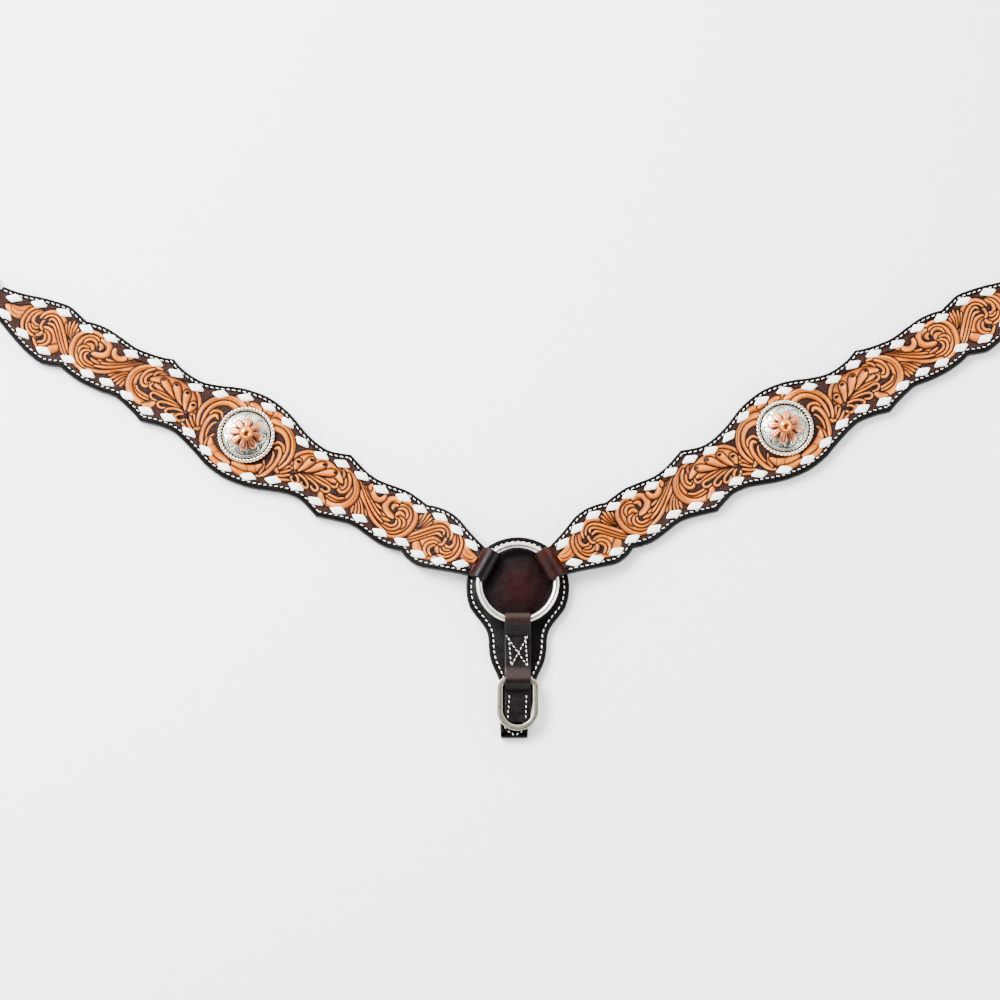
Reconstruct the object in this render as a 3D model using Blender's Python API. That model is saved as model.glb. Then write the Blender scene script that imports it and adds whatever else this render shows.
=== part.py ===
"""Tooled-leather western breast collar, laid flat with its backs on z = 0.

X runs to the object's right shoulder, Y from the drop towards the horse's neck, Z out of the
tooled faces.  The origin is under the middle of the centre ring.  All lengths are in metres;
dimensions below are written in millimetres and multiplied by MM.
"""
import math

import bmesh
import bpy

for old in list(bpy.data.objects):
    bpy.data.objects.remove(old, do_unlink=True)

MM = 0.001

# ---------------------------------------------------------------- driving dimensions (mm)
GAP = 0.3                       # running gap between neighbouring pieces
RING_R, RING_WIRE = 27.6, 2.4   # centre ring: centreline radius and wire radius
RING_Z = 11.5                   # height of the ring's centreline
SAFE_LINING = (0.0, 2.2)        # heights of the two plies of the round safe
SAFE_TOP = (2.5, 5.3)
SAFE_R, SAFE_CY = 37.1, -2.1    # round part of the safe
SAFE_END = -111.2               # square end of its tail
LINING_T = 2.6                  # shoulder lining thickness
PLY = (2.9, 6.3)                # tooled ply, heights above the panel's own base
RAISE = 5.6                     # how far the panel is lifted where it rides on the safe
RAISE_FROM, RAISE_TO = 39.0, 104.0
PANEL = (34.5, 434.0)           # panel's first and last station from the ring's middle
CONCHO_S = 224.7                # concho's station
SHOULDER_DEG = {1: 30.7, -1: 29.2}   # rise of each shoulder above the X axis
LOOP_W, LOOP_T = 12.0, 1.8      # half width and thickness of a ring loop
LOOP_EYE = (26.2, RING_Z, 4.1)  # station, height and inner radius of a ring loop's eye
DROP_W = 9.35                   # half width of the drop strap
DROP_EYE = (-26.8, RING_Z, 3.5)
DEE_BAR_Y, DEE_Z = -70.5, 7.85  # the drop dee's bar
DEE_BOW_Y, DEE_HALF, DEE_CORNER = -92.0, 12.9, 4.9
END_BAR = (441.8, 463.8)        # near and far bar of an end ring
END_Z, END_WIRE, END_HALF = 4.7, 2.1, 14.2
TUG_W, TUG_T, TUG_TIP = 9.5, 2.2, 632.0
HEEL_S, HEEL_Z, BUCKLE_WIRE = 508.0, 6.9, 1.6
LACE_T, LACE_HALF, LACE_NECK = 1.1, 3.1, 1.0
LACE_UP, LACE_DOWN = 6.75, 3.05  # underside of the lace above and below the tooled ply
CONCHO_R, ROPE_R, ROPE_WIRE = 17.4, 19.4, 1.5
# The concho's dome as (radius, height), and its flower, which lies on the dome: each of its
# rings is (share of the rim's radius, lift, whether it is level with the dome's crown).
DOME = [(17.4, 1.3), (15.6, 2.9), (11.5, 4.5), (6.5, 5.6), (0, 6.0)]
PETALS, PETAL_R, PETAL_TURN = 8, (5.6, 12.3), {1: 6, -1: 28}
FLOWER_GAP = 0.35
FLOWER_RINGS = [(0.3, 0.0, True), (0.65, 0.0, False), (1.0, 0.0, False), (1.0, 0.5, False),
                (0.8, 1.3, False), (0.55, 1.3, False), (0.3, 1.3, True)]

# Outline of a shoulder panel: (station, distance from the axis).  A third value marks a corner.
UPPER_EDGE = [
    (33, 11.4), (40, 13.4), (50, 16.8), (60, 20.8), (70, 22.3), (80, 21.0), (85.3, 19.3, 1),
    (92, 20.4), (102, 21.4), (110, 20.5), (125, 18.4), (135, 19.4), (145, 22.5), (151.7, 24.8, 1),
    (157, 22.7), (165, 20.1), (171, 19.6), (180, 20.8), (190, 23.7), (200, 27.8), (210, 30.9),
    (225, 32.7), (240, 30.6), (250, 27.4), (260, 23.1), (270, 19.9), (278, 19.2), (290, 20.7),
    (298.7, 23.9, 1), (305, 21.6), (315, 19.4), (327, 18.0), (340, 19.4), (352, 20.3), (362, 19.2),
    (368.3, 17.5, 1), (375, 19.3), (384, 21.3), (395, 19.6), (405, 17.2), (415, 14.1), (424, 11.8),
    (434, 10.4)]
LOWER_EDGE = [
    (33, 11.8), (40, 13.9), (50, 17.3), (60, 20.7), (70, 23.4), (80, 21.9), (85.3, 19.2, 1),
    (92, 21.3), (100, 22.4), (110, 21.7), (123, 20.0), (130, 20.6), (140, 23.4), (151.7, 27.0, 1),
    (157, 25.0), (165, 22.5), (170, 21.8), (180, 23.2), (190, 26.8), (200, 30.6), (210, 33.2),
    (225, 34.8), (240, 32.8), (250, 29.3), (260, 26.0), (270, 23.4), (276, 23.0), (285, 24.4),
    (297.3, 27.8, 1), (305, 25.0), (315, 22.3), (323, 21.0), (335, 22.9), (350, 23.8), (362, 22.5),
    (368.3, 20.8, 1), (375, 23.6), (382, 25.6), (395, 23.7), (405, 20.6), (415, 16.8), (424, 13.2),
    (434, 10.4)]

# Middles of the white lace's exposed stitches, by station and distance from the axis.
UPPER_LACE = [
    (42.5, 8.0), (57.5, 12.6), (72.5, 15.3), (88.5, 13.7), (103, 15.3), (120, 12.7), (137, 14.6),
    (154, 15.5), (170, 13.4), (187, 15.6), (203.5, 22.9), (221, 26.1), (239, 24.1), (256, 17.5),
    (274, 13.1), (292, 15.1), (309, 14.7), (327.5, 11.9), (346.5, 14.7), (365, 12.3),
    (385.5, 14.7), (404.5, 11.5), (422.5, 6.4)]
LOWER_LACE = [
    (42.5, 8.0), (57.5, 13.6), (73, 16.1), (88, 13.7), (105, 15.3), (123, 13.2), (139.5, 15.9),
    (157, 17.8), (174.5, 15.4), (191.5, 19.3), (208.5, 25.9), (227, 28.0), (244.5, 23.9),
    (262, 18.1), (280.5, 16.0), (297, 19.5), (314.5, 16.3), (332.5, 15.0), (348, 16.3),
    (365.5, 13.8), (384.5, 17.1), (404, 13.3), (422, 7.2)]


# ---------------------------------------------------------------- materials and mesh helpers
COLOURS = {
    "tooled_leather": ((0.62, 0.30, 0.13), 0.0, 0.50),
    "lining_leather": ((0.055, 0.022, 0.018), 0.0, 0.70),
    "safe_leather": ((0.018, 0.010, 0.011), 0.0, 0.45),
    "loop_leather": ((0.10, 0.026, 0.018), 0.0, 0.48),
    "tug_leather": ((0.050, 0.020, 0.016), 0.0, 0.50),
    "lace": ((0.90, 0.89, 0.85), 0.0, 0.60),
    "nickel": ((0.78, 0.77, 0.74), 1.0, 0.22),
    "satin_nickel": ((0.56, 0.54, 0.49), 1.0, 0.38),
    "silver": ((0.80, 0.80, 0.77), 1.0, 0.28),
    "copper": ((0.80, 0.48, 0.34), 1.0, 0.32),
}


def material(node, kind):
    colour, metal, rough = COLOURS[kind]
    mat = bpy.data.materials.new(node)
    mat.use_nodes = True
    shader = mat.node_tree.nodes["Principled BSDF"]
    shader.inputs["Base Color"].default_value = (*colour, 1.0)
    shader.inputs["Metallic"].default_value = metal
    shader.inputs["Roughness"].default_value = rough
    mat.diffuse_color = (*colour, 1.0)
    return mat


def body(name, verts, faces, kind=None, origin=(0.0, 0.0, 0.0)):
    """A named closed solid from points in mm; its origin is set at the given point."""
    mesh = bpy.data.meshes.new(name)
    mesh.from_pydata([[(a - b) * MM for a, b in zip(v, origin)] for v in verts], [], faces)
    bm = bmesh.new()
    bm.from_mesh(mesh)
    bmesh.ops.recalc_face_normals(bm, faces=bm.faces)
    bm.to_mesh(mesh)
    bm.free()
    obj = bpy.data.objects.new(name, mesh)
    obj.location = [c * MM for c in origin]
    bpy.context.scene.collection.objects.link(obj)
    if kind:
        mesh.materials.append(material(name, kind))
    else:
        obj.hide_render = True
        obj.display_type = "WIRE"
    return obj


def cut(target, cutter):
    mod = target.modifiers.new(cutter.name, "BOOLEAN")
    mod.operation = "DIFFERENCE"
    mod.solver = "EXACT"
    mod.object = cutter
    return target


def rings_to_faces(count, size, closed=False):
    """Quads between successive rings of points, with end caps unless the rings close up."""
    faces = []
    last = count if closed else count - 1
    for i in range(last):
        a, b = i * size, ((i + 1) % count) * size
        for j in range(size):
            k = (j + 1) % size
            faces.append((a + j, a + k, b + k, b + j))
    if not closed:
        faces.append(tuple(range(size)))
        faces.append(tuple(range((count - 1) * size, count * size)))
    return faces


# ---------------------------------------------------------------- frames
def world(side, s, t, z):
    """A point of a shoulder's own frame: s outwards, t towards the neck, z up."""
    a = math.radians(SHOULDER_DEG[side])
    return (side * (s * math.cos(a) - t * math.sin(a)), s * math.sin(a) + t * math.cos(a), z)


def name_of(side, piece):
    return ("right_" if side > 0 else "left_") + piece


def raised(s):
    """Height of the panel's underside at a station."""
    f = min(max((s - RAISE_FROM) / (RAISE_TO - RAISE_FROM), 0.0), 1.0)
    return RAISE * (1.0 - f * f * (3.0 - 2.0 * f))


def smooth(points, x):
    """Smooth curve through points, with a break of slope at each marked corner."""
    n = len(points)
    i = 0
    while i < n - 2 and x > points[i + 1][0]:
        i += 1

    def slope(k, left):
        if len(points[k]) > 2 or k in (0, n - 1):
            a, b = (k, k + 1) if (left and k < n - 1) or k == 0 else (k - 1, k)
        else:
            a, b = k - 1, k + 1
        return (points[b][1] - points[a][1]) / (points[b][0] - points[a][0])

    x0, y0 = points[i][:2]
    x1, y1 = points[i + 1][:2]
    h = x1 - x0
    f = (x - x0) / h
    m0, m1 = slope(i, True), slope(i + 1, False)
    return ((1 + 2 * f) * (1 - f) ** 2 * y0 + f * (1 - f) ** 2 * h * m0
            + f * f * (3 - 2 * f) * y1 + f * f * (f - 1) * h * m1)


def edge(up, s):
    return smooth(UPPER_EDGE, s) if up else -smooth(LOWER_EDGE, s)


def dome(r):
    """Height of a concho's domed face above its base at a radius."""
    for (r1, h1), (r2, h2) in zip(DOME, DOME[1:]):
        if r >= r2:
            return h2 + (h1 - h2) * (r - r2) / (r1 - r2)


def stations(step):
    marks = {PANEL[0], PANEL[1]} | {p[0] for p in UPPER_EDGE + LOWER_EDGE if len(p) > 2}
    count = round((PANEL[1] - PANEL[0]) / step)
    grid = [PANEL[0] + (PANEL[1] - PANEL[0]) * i / count for i in range(1, count)]
    marks |= {g for g in grid if all(abs(g - m) > 0.45 * step for m in marks)}
    return sorted(marks)


# ---------------------------------------------------------------- strap profiles
def arc(cx, cz, r, a0, a1, steps):
    return [(cx + r * math.cos(math.radians(a0 + (a1 - a0) * i / steps)),
             cz + r * math.sin(math.radians(a0 + (a1 - a0) * i / steps))) for i in range(steps + 1)]


def tangent(point, cx, cz, r, turn):
    """Angle in degrees of the tangent point on a circle from a point outside it."""
    dx, dz = point[0] - cx, point[1] - cz
    return math.degrees(math.atan2(dz, dx) + turn * math.acos(r / math.hypot(dx, dz)))


def sheet(path, thick):
    """Closed profile of a strap of given thickness along its middle line."""
    left, right = [], []
    n = len(path)
    for i, (x, z) in enumerate(path):
        xa, za = path[max(i - 1, 0)]
        xb, zb = path[min(i + 1, n - 1)]
        if 0 < i < n - 1:
            d0 = (x - xa, z - za)
            d1 = (xb - x, zb - z)
            l0, l1 = math.hypot(*d0), math.hypot(*d1)
            nx, nz = -(d0[1] / l0 + d1[1] / l1), d0[0] / l0 + d1[0] / l1
            ln = math.hypot(nx, nz)
            nx, nz = nx / ln, nz / ln
            grow = 1.0 / max(0.5, (-nx * d0[1] + nz * d0[0]) / l0)
        else:
            ln = math.hypot(xb - xa, zb - za)
            nx, nz, grow = -(zb - za) / ln, (xb - xa) / ln, 1.0
        h = grow * (thick[i] if isinstance(thick, list) else thick) / 2
        left.append((x + nx * h, z + nz * h))
        right.append((x - nx * h, z - nz * h))
    return left, right


def strap(name, path, thick, half, place, kind, origin, flare=None):
    """A folded strap: the profile's two faces swept across the strap's width."""
    left, right = sheet(path, thick)
    verts, count = [], len(path)
    for i in range(count):
        w = half if flare is None else flare(i, path[i])
        for (a, z), t in ((left[i], -w), (left[i], w), (right[i], w), (right[i], -w)):
            verts.append(place(a, t, z))
    return body(name, verts, rings_to_faces(count, 4), kind, origin)


def tube(name, path, section, kind, origin):
    """A closed wire: a section (across, up) carried round a closed path of (point, across)."""
    verts = []
    for (px, py, pz), (ax, ay) in path:
        for u, v in section:
            verts.append((px + ax * u, py + ay * u, pz + v))
    return body(name, verts, rings_to_faces(len(path), len(section), True), kind, origin)


def round_section(r, n=10):
    return [(r * math.cos(2 * math.pi * (i + 0.5) / n), r * math.sin(2 * math.pi * (i + 0.5) / n))
            for i in range(n)]


def turned(name, profile, place, segments, kind, origin=(0.0, 0.0, 0.0)):
    """A solid of revolution from (radius, height) points; the first and last are on the axis."""
    verts = [place(0, 0, profile[0][1])]
    for r, z in profile[1:-1]:
        for i in range(segments):
            a = 2 * math.pi * i / segments
            verts.append(place(r * math.cos(a), r * math.sin(a), z))
    verts.append(place(0, 0, profile[-1][1]))
    faces, m = [], len(profile) - 2
    for i in range(segments):
        j = (i + 1) % segments
        faces.append((0, 1 + i, 1 + j))
        for k in range(m - 1):
            a, b = 1 + k * segments, 1 + (k + 1) * segments
            faces.append((a + i, a + j, b + j, b + i))
        faces.append((1 + (m - 1) * segments + i, 1 + (m - 1) * segments + j, len(verts) - 1))
    return body(name, verts, faces, kind, origin)


def box(name, place, s, t, z, kind=None, origin=(0.0, 0.0, 0.0)):
    verts = [place(a, b, c) for c in z for a, b in
             ((s[0], t[0]), (s[1], t[0]), (s[1], t[1]), (s[0], t[1]))]
    return body(name, verts, rings_to_faces(2, 4), kind, origin)


# ---------------------------------------------------------------- centre: safe, ring, strap, dee
def tail_lean(y):
    """Sideways lie of the safe's tail, which hangs a little to the left of the dee."""
    f = min(max((-78.0 - y) / 28.0, 0.0), 1.0)
    return -2.6 * f * f * (3.0 - 2.0 * f)


def safe_outline(inset):
    """Round safe running down into a neck and a square-ended tail, shrunk by an inset."""
    r = SAFE_R - inset
    flank = [(30.2, -22.3), (27.2, -26.0), (24.2, -30.1), (22.1, -34.3), (21.1, -39.0),
             (20.8, -46.0), (20.2, -51.0), (19.0, -56.0), (17.1, -60.6), (14.9, -65.2),
             (13.2, -69.8), (11.9, -76.0), (11.4, -84.0), (11.0, -92.0), (10.3, -100.0),
             (9.5, SAFE_END)]
    pts = [(r * math.cos(math.radians(a)), SAFE_CY + r * math.sin(math.radians(a)))
           for a in range(90, -27, -8)]
    pts += [(x - inset, y + (inset if y == SAFE_END else 0.0)) for x, y in flank]
    pts += [(-x, y) for x, y in reversed(pts) if x > 1e-6]
    return [(x + tail_lean(y), y) for x, y in pts]


def plate(name, outline, levels, kind, origin=(0.0, 0.0, 0.0)):
    """A flat piece built from the same outline at several insets and heights."""
    verts = []
    for inset, z in levels:
        verts += [(x, y, z) for x, y in outline(inset)]
    n = len(outline(0.0))
    return body(name, verts, rings_to_faces(len(levels), n), kind, origin)


RING_BOTTOM = (0.0, DROP_EYE[0], RING_Z)
DEE_BAR = (0.0, DEE_BAR_Y, DEE_Z)

plate("safe_lining", safe_outline, ((0.0, SAFE_LINING[0]), (0.0, SAFE_LINING[1])),
      "lining_leather")
plate("safe_top_ply", safe_outline, ((0.0, SAFE_TOP[0]), (0.0, SAFE_TOP[1] - 0.8),
                                     (0.8, SAFE_TOP[1])), "safe_leather")

tube("centre_ring",
     [((RING_R * math.cos(a), RING_R * math.sin(a), RING_Z), (math.cos(a), math.sin(a)))
      for a in (2 * math.pi * i / 48 for i in range(48))],
     round_section(RING_WIRE, 8), "nickel", RING_BOTTOM)


def drop_place(a, t, z):
    return (t, a, z)


low, eye_r = SAFE_TOP[1] + GAP + LOOP_T / 2, DROP_EYE[2] + LOOP_T / 2
top_run = low + LOOP_T + GAP
start, end = (-40.0, low), (-38.0, top_run)
path = [(DEE_BAR_Y + 6.0, low), (-50.0, low), start]
path += arc(DROP_EYE[0], DROP_EYE[1], eye_r,
            tangent(start, DROP_EYE[0], DROP_EYE[1], eye_r, 1),
            tangent(end, DROP_EYE[0], DROP_EYE[1], eye_r, -1) + 360, 14)
path += [end, (DEE_BAR_Y + 9.0, top_run)]
hump = 2.95 + LOOP_T / 2
path += [(DEE_BAR_Y + 5.6, top_run + 0.7)]
path += arc(DEE_BAR_Y, DEE_Z, hump, 62, 150, 6)
path += [(DEE_BAR_Y - 5.2, low + 0.9), (DEE_BAR_Y - 8.0, low)]
rounded = {-95.0: DROP_W, -97.4: 8.5, -99.2: 7.2, -100.6: 5.4}   # half widths towards the end
path += [(y, low) for y in rounded]
strap("drop_strap", path, LOOP_T, DROP_W, drop_place, "safe_leather", (0.0, 0.0, 0.0),
      lambda i, p: rounded.get(p[0], DROP_W))

DEE_SECTION = [(2.1, 1.0), (1.2, 1.9), (-1.2, 1.9), (-2.1, 1.0),
               (-2.1, -1.0), (-1.2, -1.9), (1.2, -1.9), (2.1, -1.0)]
dee = []
for i in range(21):
    a = math.radians(180 + 180 * i / 20)
    dee.append(((DEE_HALF * math.cos(a), DEE_BOW_Y + DEE_HALF * math.sin(a), DEE_Z),
                (math.cos(a), math.sin(a))))
for cx, a0 in ((DEE_HALF - DEE_CORNER, 0), (DEE_CORNER - DEE_HALF, 90)):
    for i in range(6):
        a = math.radians(a0 + 18 * i)
        dee.append(((cx + DEE_CORNER * math.cos(a), DEE_BAR_Y - DEE_CORNER * (1 - math.sin(a)), DEE_Z),
                    (math.cos(a), math.sin(a))))
tube("drop_dee", dee, DEE_SECTION, "satin_nickel", DEE_BAR)


# ---------------------------------------------------------------- shoulders
def lace_points(up, extra):
    """Stations of the lace as it weaves: each is (along, across, z) for its four corners.

    extra is the clearance added all round, used for the copy that cuts the tooled ply."""
    row = UPPER_LACE if up else LOWER_LACE
    sign = 1.0 if up else -1.0
    t, e = LACE_T, extra
    out = []

    def corners(c, tau, left, right, shift_top, shift_bottom, z):
        pts = []
        nrm = (-tau[1] * sign, tau[0] * sign)
        for (along, across), shift, level in (
                (left, shift_top, z + t + e), (right, shift_top, z + t + e),
                (right, shift_bottom, z - e), (left, shift_bottom, z - e)):
            u = along + shift
            s = c[0] + tau[0] * u + nrm[0] * across
            y = c[1] + tau[1] * u + nrm[1] * across
            pts.append((s, y, level + raised(s)))
        out.append(pts)

    n, w, wide = len(row), LACE_NECK + e, LACE_HALF + e
    for k, (s, d) in enumerate(row):
        c = (s, d * sign)
        a, b = row[max(k - 1, 0)], row[min(k + 1, n - 1)]
        ln = math.hypot(b[0] - a[0], b[1] - a[1])
        tau = ((b[0] - a[0]) / ln, (b[1] - a[1]) * sign / ln)
        if k == 0:
            corners(c, tau, (-7.6 - e, w), (-7.6 - e, -w), 0, 0, LACE_DOWN)
        corners(c, tau, (-5.9, w), (-5.9, -w), -e, t + e, LACE_DOWN)
        corners(c, tau, (-5.9, w), (-5.9, -w), -e, t + e, LACE_UP)
        corners(c, tau, (-0.9, wide), (0.9, -wide), 0, 0, LACE_UP)
        corners(c, tau, (5.9, w), (5.9, -w), e, -t - e, LACE_UP)
        corners(c, tau, (5.9, w), (5.9, -w), e, -t - e, LACE_DOWN)
        if k == n - 1:
            corners(c, tau, (7.6 + e, w), (7.6 + e, -w), 0, 0, LACE_DOWN)
    return out


def triangles(faces, start=0):
    out = []
    for f in faces:
        out += [tuple(start + k for k in (f[0], f[1], f[2])), tuple(start + k for k in (f[0], f[2], f[3]))]
    return out


def lace(side, up, name, origin):
    """The lace itself: one ribbon that weaves up and down through the tooled ply."""
    rows = lace_points(up, 0.0)
    verts = [world(side, *p) for pts in rows for p in pts]
    return body(name, verts, triangles(rings_to_faces(len(rows), 4)), "lace", origin)


def lace_channels(side, up, name, origin):
    """Cutter for the holes and hidden channels that the lace passes through."""
    rows = lace_points(up, GAP + 0.05)
    verts, faces = [], []
    groups = [rows[0:3]]
    k = 4
    while k + 3 < len(rows):
        groups.append(rows[k:k + 4])
        k += 5
    groups.append(rows[k:])
    for group in groups:
        start = len(verts)
        for pts in group:
            high = sum(p[2] - raised(p[0]) for p in pts) / 4 > 5.0
            verts += [world(side, s, t, z + 6.0 if high else z) for s, t, z in pts]
        faces += triangles(rings_to_faces(len(group), 4), start)
    return body(name, verts, faces, None, origin)


def panel(side, name, step, levels, kind, origin):
    """A ply lofted along the shoulder; levels are (inset, height) up one side of its section."""
    verts, rows = [], stations(step)
    for s in rows:
        u, l, h = edge(True, s), edge(False, s), raised(s)
        ring = [(l + i, z) for i, z in levels] + [(u - i, z) for i, z in reversed(levels)]
        verts += [world(side, s, t, h + z) for t, z in ring]
    return body(name, verts, rings_to_faces(len(rows), 2 * len(levels)), kind, origin)


def centred(side, s0):
    return lambda a, b, z: world(side, s0 + a, b, z)


def shoulder(side):
    def label(piece):
        return name_of(side, piece)

    def here(a, t, z):
        return world(side, a, t, z)

    flap = world(side, PANEL[0], 0.0, RAISE + PLY[1])
    concho = centred(side, CONCHO_S)

    # plies and laces
    ply = panel(side, label("tooled_ply"), 7.6, ((0.0, PLY[0]), (0.0, PLY[1] - 0.7), (0.7, PLY[1])),
                "tooled_leather", flap)
    lining = panel(side, label("lining_ply"), 8.0, ((0.0, 0.0), (0.0, LINING_T)),
                   "lining_leather", flap)
    for up, word in ((True, "upper"), (False, "lower")):
        lace(side, up, label(word + "_lace"), flap)
        cut(ply, lace_channels(side, up, label(word + "_lace_holes"), flap))
    cut(ply, turned(label("post_hole"), [(0, -1), (2.8, -1), (2.8, 8), (0, 8)], concho, 16, None))
    cut(lining, turned(label("screw_hole"), [(0, -1), (5.4, -1), (5.4, 1.35), (2.8, 1.35), (2.8, 8),
                                             (0, 8)], concho, 16, None))
    cut(lining, box(label("tongue_pocket"), here, (408.5, 440.0), (-8.3, 8.3), (0.9, 3.4)))

    # loop of leather on the centre ring
    cx, cz, cr = LOOP_EYE
    r = cr + LOOP_T / 2
    s1, s2 = (32.4, 7.75), (33.0, 10.3)
    path = [(34.15, 7.75), s1]
    path += arc(cx, cz, r, tangent(s1, cx, cz, r, -1), tangent(s2, cx, cz, r, 1) - 360, 16)
    path += [s2, (34.15, 10.15)]
    strap(label("ring_loop"), path, LOOP_T, LOOP_W - 0.4, here, "loop_leather",
          (0.0, 0.0, RING_Z))

    # loop at the panel's outer end, its tongue let into the lining
    r = END_WIRE + 0.35 + LOOP_T / 2
    top, bottom = (436.2, 5.2), (434.6, 1.9)
    path = [(435.4, 4.6), top]
    path += arc(END_BAR[0], END_Z, r, tangent(top, END_BAR[0], END_Z, r, -1),
                tangent(bottom, END_BAR[0], END_Z, r, 1) - 360, 16)
    path += [bottom, (431.0, 1.85), (410.0, 1.85)]
    thick = [LOOP_T] * (len(path) - 3) + [1.3, 1.2, 1.2]
    strap(label("outer_loop"), path, thick, 8.0, here, "loop_leather", flap)

    # end ring: two straight bars and two sides
    corner = 4.2
    ring = []
    for a0, cs, ct in ((0, END_BAR[1] - corner, END_HALF - corner),
                       (90, END_BAR[0] + corner, END_HALF - corner),
                       (180, END_BAR[0] + corner, corner - END_HALF),
                       (270, END_BAR[1] - corner, corner - END_HALF)):
        for i in range(6):
            a = math.radians(a0 + 18 * i)
            p = world(side, cs + corner * math.cos(a), ct + corner * math.sin(a), END_Z)
            q = world(side, math.cos(a), math.sin(a), 0.0)
            ring.append((p, q[:2]))
    near = world(side, END_BAR[0], 0.0, END_Z)
    tube(label("end_ring"), ring, round_section(END_WIRE, 8), "nickel", near)

    # concho with its rope edge, flower, bead, post and back screw
    z0 = PLY[1] + GAP
    turned(label("concho_cap"),
           [(0, z0 + 1.0), (2.8, z0 + 1.0), (2.8, z0), (CONCHO_R, z0)]
           + [(r, z0 + h) for r, h in DOME], concho, 32, "silver", flap)
    tube(label("concho_rope_edge"),
         [(world(side, CONCHO_S + ROPE_R * math.cos(a), ROPE_R * math.sin(a), z0 + ROPE_WIRE),
           world(side, math.cos(a), math.sin(a), 0.0)[:2])
          for a in (2 * math.pi * i / 36 for i in range(36))],
         round_section(ROPE_WIRE, 6), "silver", flap)
    rim = []
    for i in range(8 * PETALS):
        a = math.pi * i / (4 * PETALS)
        lobe = abs(math.cos(PETALS / 2 * (a - math.radians(PETAL_TURN[side]))))
        rim.append((PETAL_R[0] + (PETAL_R[1] - PETAL_R[0]) * lobe ** 0.5, a))
    crown = z0 + DOME[-1][1] + FLOWER_GAP
    verts = []
    for k, lift, level in FLOWER_RINGS:
        verts += [concho(k * q * math.cos(a), k * q * math.sin(a),
                         crown + lift if level else z0 + dome(k * q) + FLOWER_GAP + lift)
                  for q, a in rim]
    body(label("concho_flower"), verts, rings_to_faces(len(FLOWER_RINGS), len(rim)), "copper",
         flap)
    zb = crown + 1.3 + GAP
    turned(label("concho_bead"), [(0, zb), (4.6, zb), (5.4, zb + 1.2), (5.3, zb + 2.2),
                                  (4.4, zb + 3.6), (2.6, zb + 4.7), (0, zb + 5.1)],
           concho, 20, "copper", flap)
    turned(label("concho_post"), [(0, 4.6), (1.6, 4.6), (1.6, 1.6), (2.45, 1.6), (2.45, z0 + 0.7),
                                  (0, z0 + 0.7)], concho, 16, "nickel", flap)
    turned(label("concho_back_screw"), [(0, 0.15), (5.0, 0.15), (5.0, 0.6), (4.4, 1.05),
                                        (1.25, 1.05), (1.25, 4.2), (0, 4.2)], concho, 16,
           "nickel", flap)

    # tug: one strap folded round the end ring's far bar, its short end folded round the buckle
    far = world(side, END_BAR[1], 0.0, END_Z)
    re, rb = END_WIRE + 0.35 + TUG_T / 2, BUCKLE_WIRE + 0.35 + TUG_T / 2
    s0, s1, s2, s3 = (472.0, TUG_T / 2), (474.0, 7.7), (499.0, 7.7), (497.0, 5.1)
    tip = [(TUG_TIP, TUG_T / 2), (TUG_TIP - 3.0, TUG_T / 2), (TUG_TIP - 8.0, TUG_T / 2),
           (TUG_TIP - 16.0, TUG_T / 2)]
    path = tip + [(540.0, TUG_T / 2), s0]
    path += arc(END_BAR[1], END_Z, re, tangent(s0, END_BAR[1], END_Z, re, -1),
                tangent(s1, END_BAR[1], END_Z, re, 1) - 360, 12)
    path += [s1, s2]
    path += arc(HEEL_S, HEEL_Z, rb, tangent(s2, HEEL_S, HEEL_Z, rb, -1),
                tangent(s3, HEEL_S, HEEL_Z, rb, 1) - 0.0, 12)
    path += [s3, (478.0, 5.1)]
    taper = {TUG_TIP: 3.2, TUG_TIP - 3.0: 6.6, TUG_TIP - 8.0: 8.8}
    tug = strap(label("tug_strap"), path, TUG_T, TUG_W, here, "tug_leather", far,
                lambda i, p: taper.get(p[0], TUG_W) if i < 4 else TUG_W)
    cut(tug, box(label("tongue_slot"), here, (502.6, 520.0), (-2.0, 2.0), (2.9, 14.0)))
    for i in range(5):
        spot = centred(side, TUG_TIP - 28.0 - 16.0 * i)
        cut(tug, turned(label("punch_%d" % (i + 1)), [(0, -1), (2.0, -1), (2.0, 4), (0, 4)], spot,
                        10, None))

    # buckle frame, tongue and keeper
    heel = world(side, HEEL_S, 0.0, HEEL_Z)
    corner, length, half = 3.8, 20.0, 13.8
    frame = []
    for a0, cs, ct in ((0, HEEL_S + length - corner, half - corner),
                       (90, HEEL_S + corner, half - corner),
                       (180, HEEL_S + corner, corner - half),
                       (270, HEEL_S + length - corner, corner - half)):
        for i in range(5):
            a = math.radians(a0 + 22.5 * i)
            p = world(side, cs + corner * math.cos(a), ct + corner * math.sin(a), HEEL_Z)
            q = world(side, math.cos(a), math.sin(a), 0.0)
            frame.append((p, q[:2]))
    tube(label("tug_buckle"), frame, round_section(BUCKLE_WIRE, 8), "nickel", heel)
    rt = BUCKLE_WIRE + 0.25 + 0.55
    path = arc(HEEL_S, HEEL_Z, rt, 200, 470, 12)[::-1]
    path = [(HEEL_S + length + 2.4, HEEL_Z + 2.5), (HEEL_S + length - 3.0, HEEL_Z + 2.5),
            (HEEL_S + 4.0, HEEL_Z + 2.5)] + arc(HEEL_S, HEEL_Z, rt, 84, 330, 12)
    strap(label("buckle_tongue"), path, 1.1, 1.5, here, "nickel", heel)
    keeper = [(s, z) for s, z in ((9.95, 3.4), (9.95, 9.4), (-9.95, 9.4), (-9.95, 3.4))]
    verts = []
    for s in (484.0, 492.0):
        for grow in (0.0, 1.3):
            g0, g1 = (3.4 - grow * 0.55, 9.15 + grow)
            w = TUG_W + 0.4 + grow
            verts += [here(s, -w, g0), here(s, w, g0), here(s, w, g1), here(s, -w, g1)]
    faces = []
    for j in range(4):
        k = (j + 1) % 4
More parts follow.
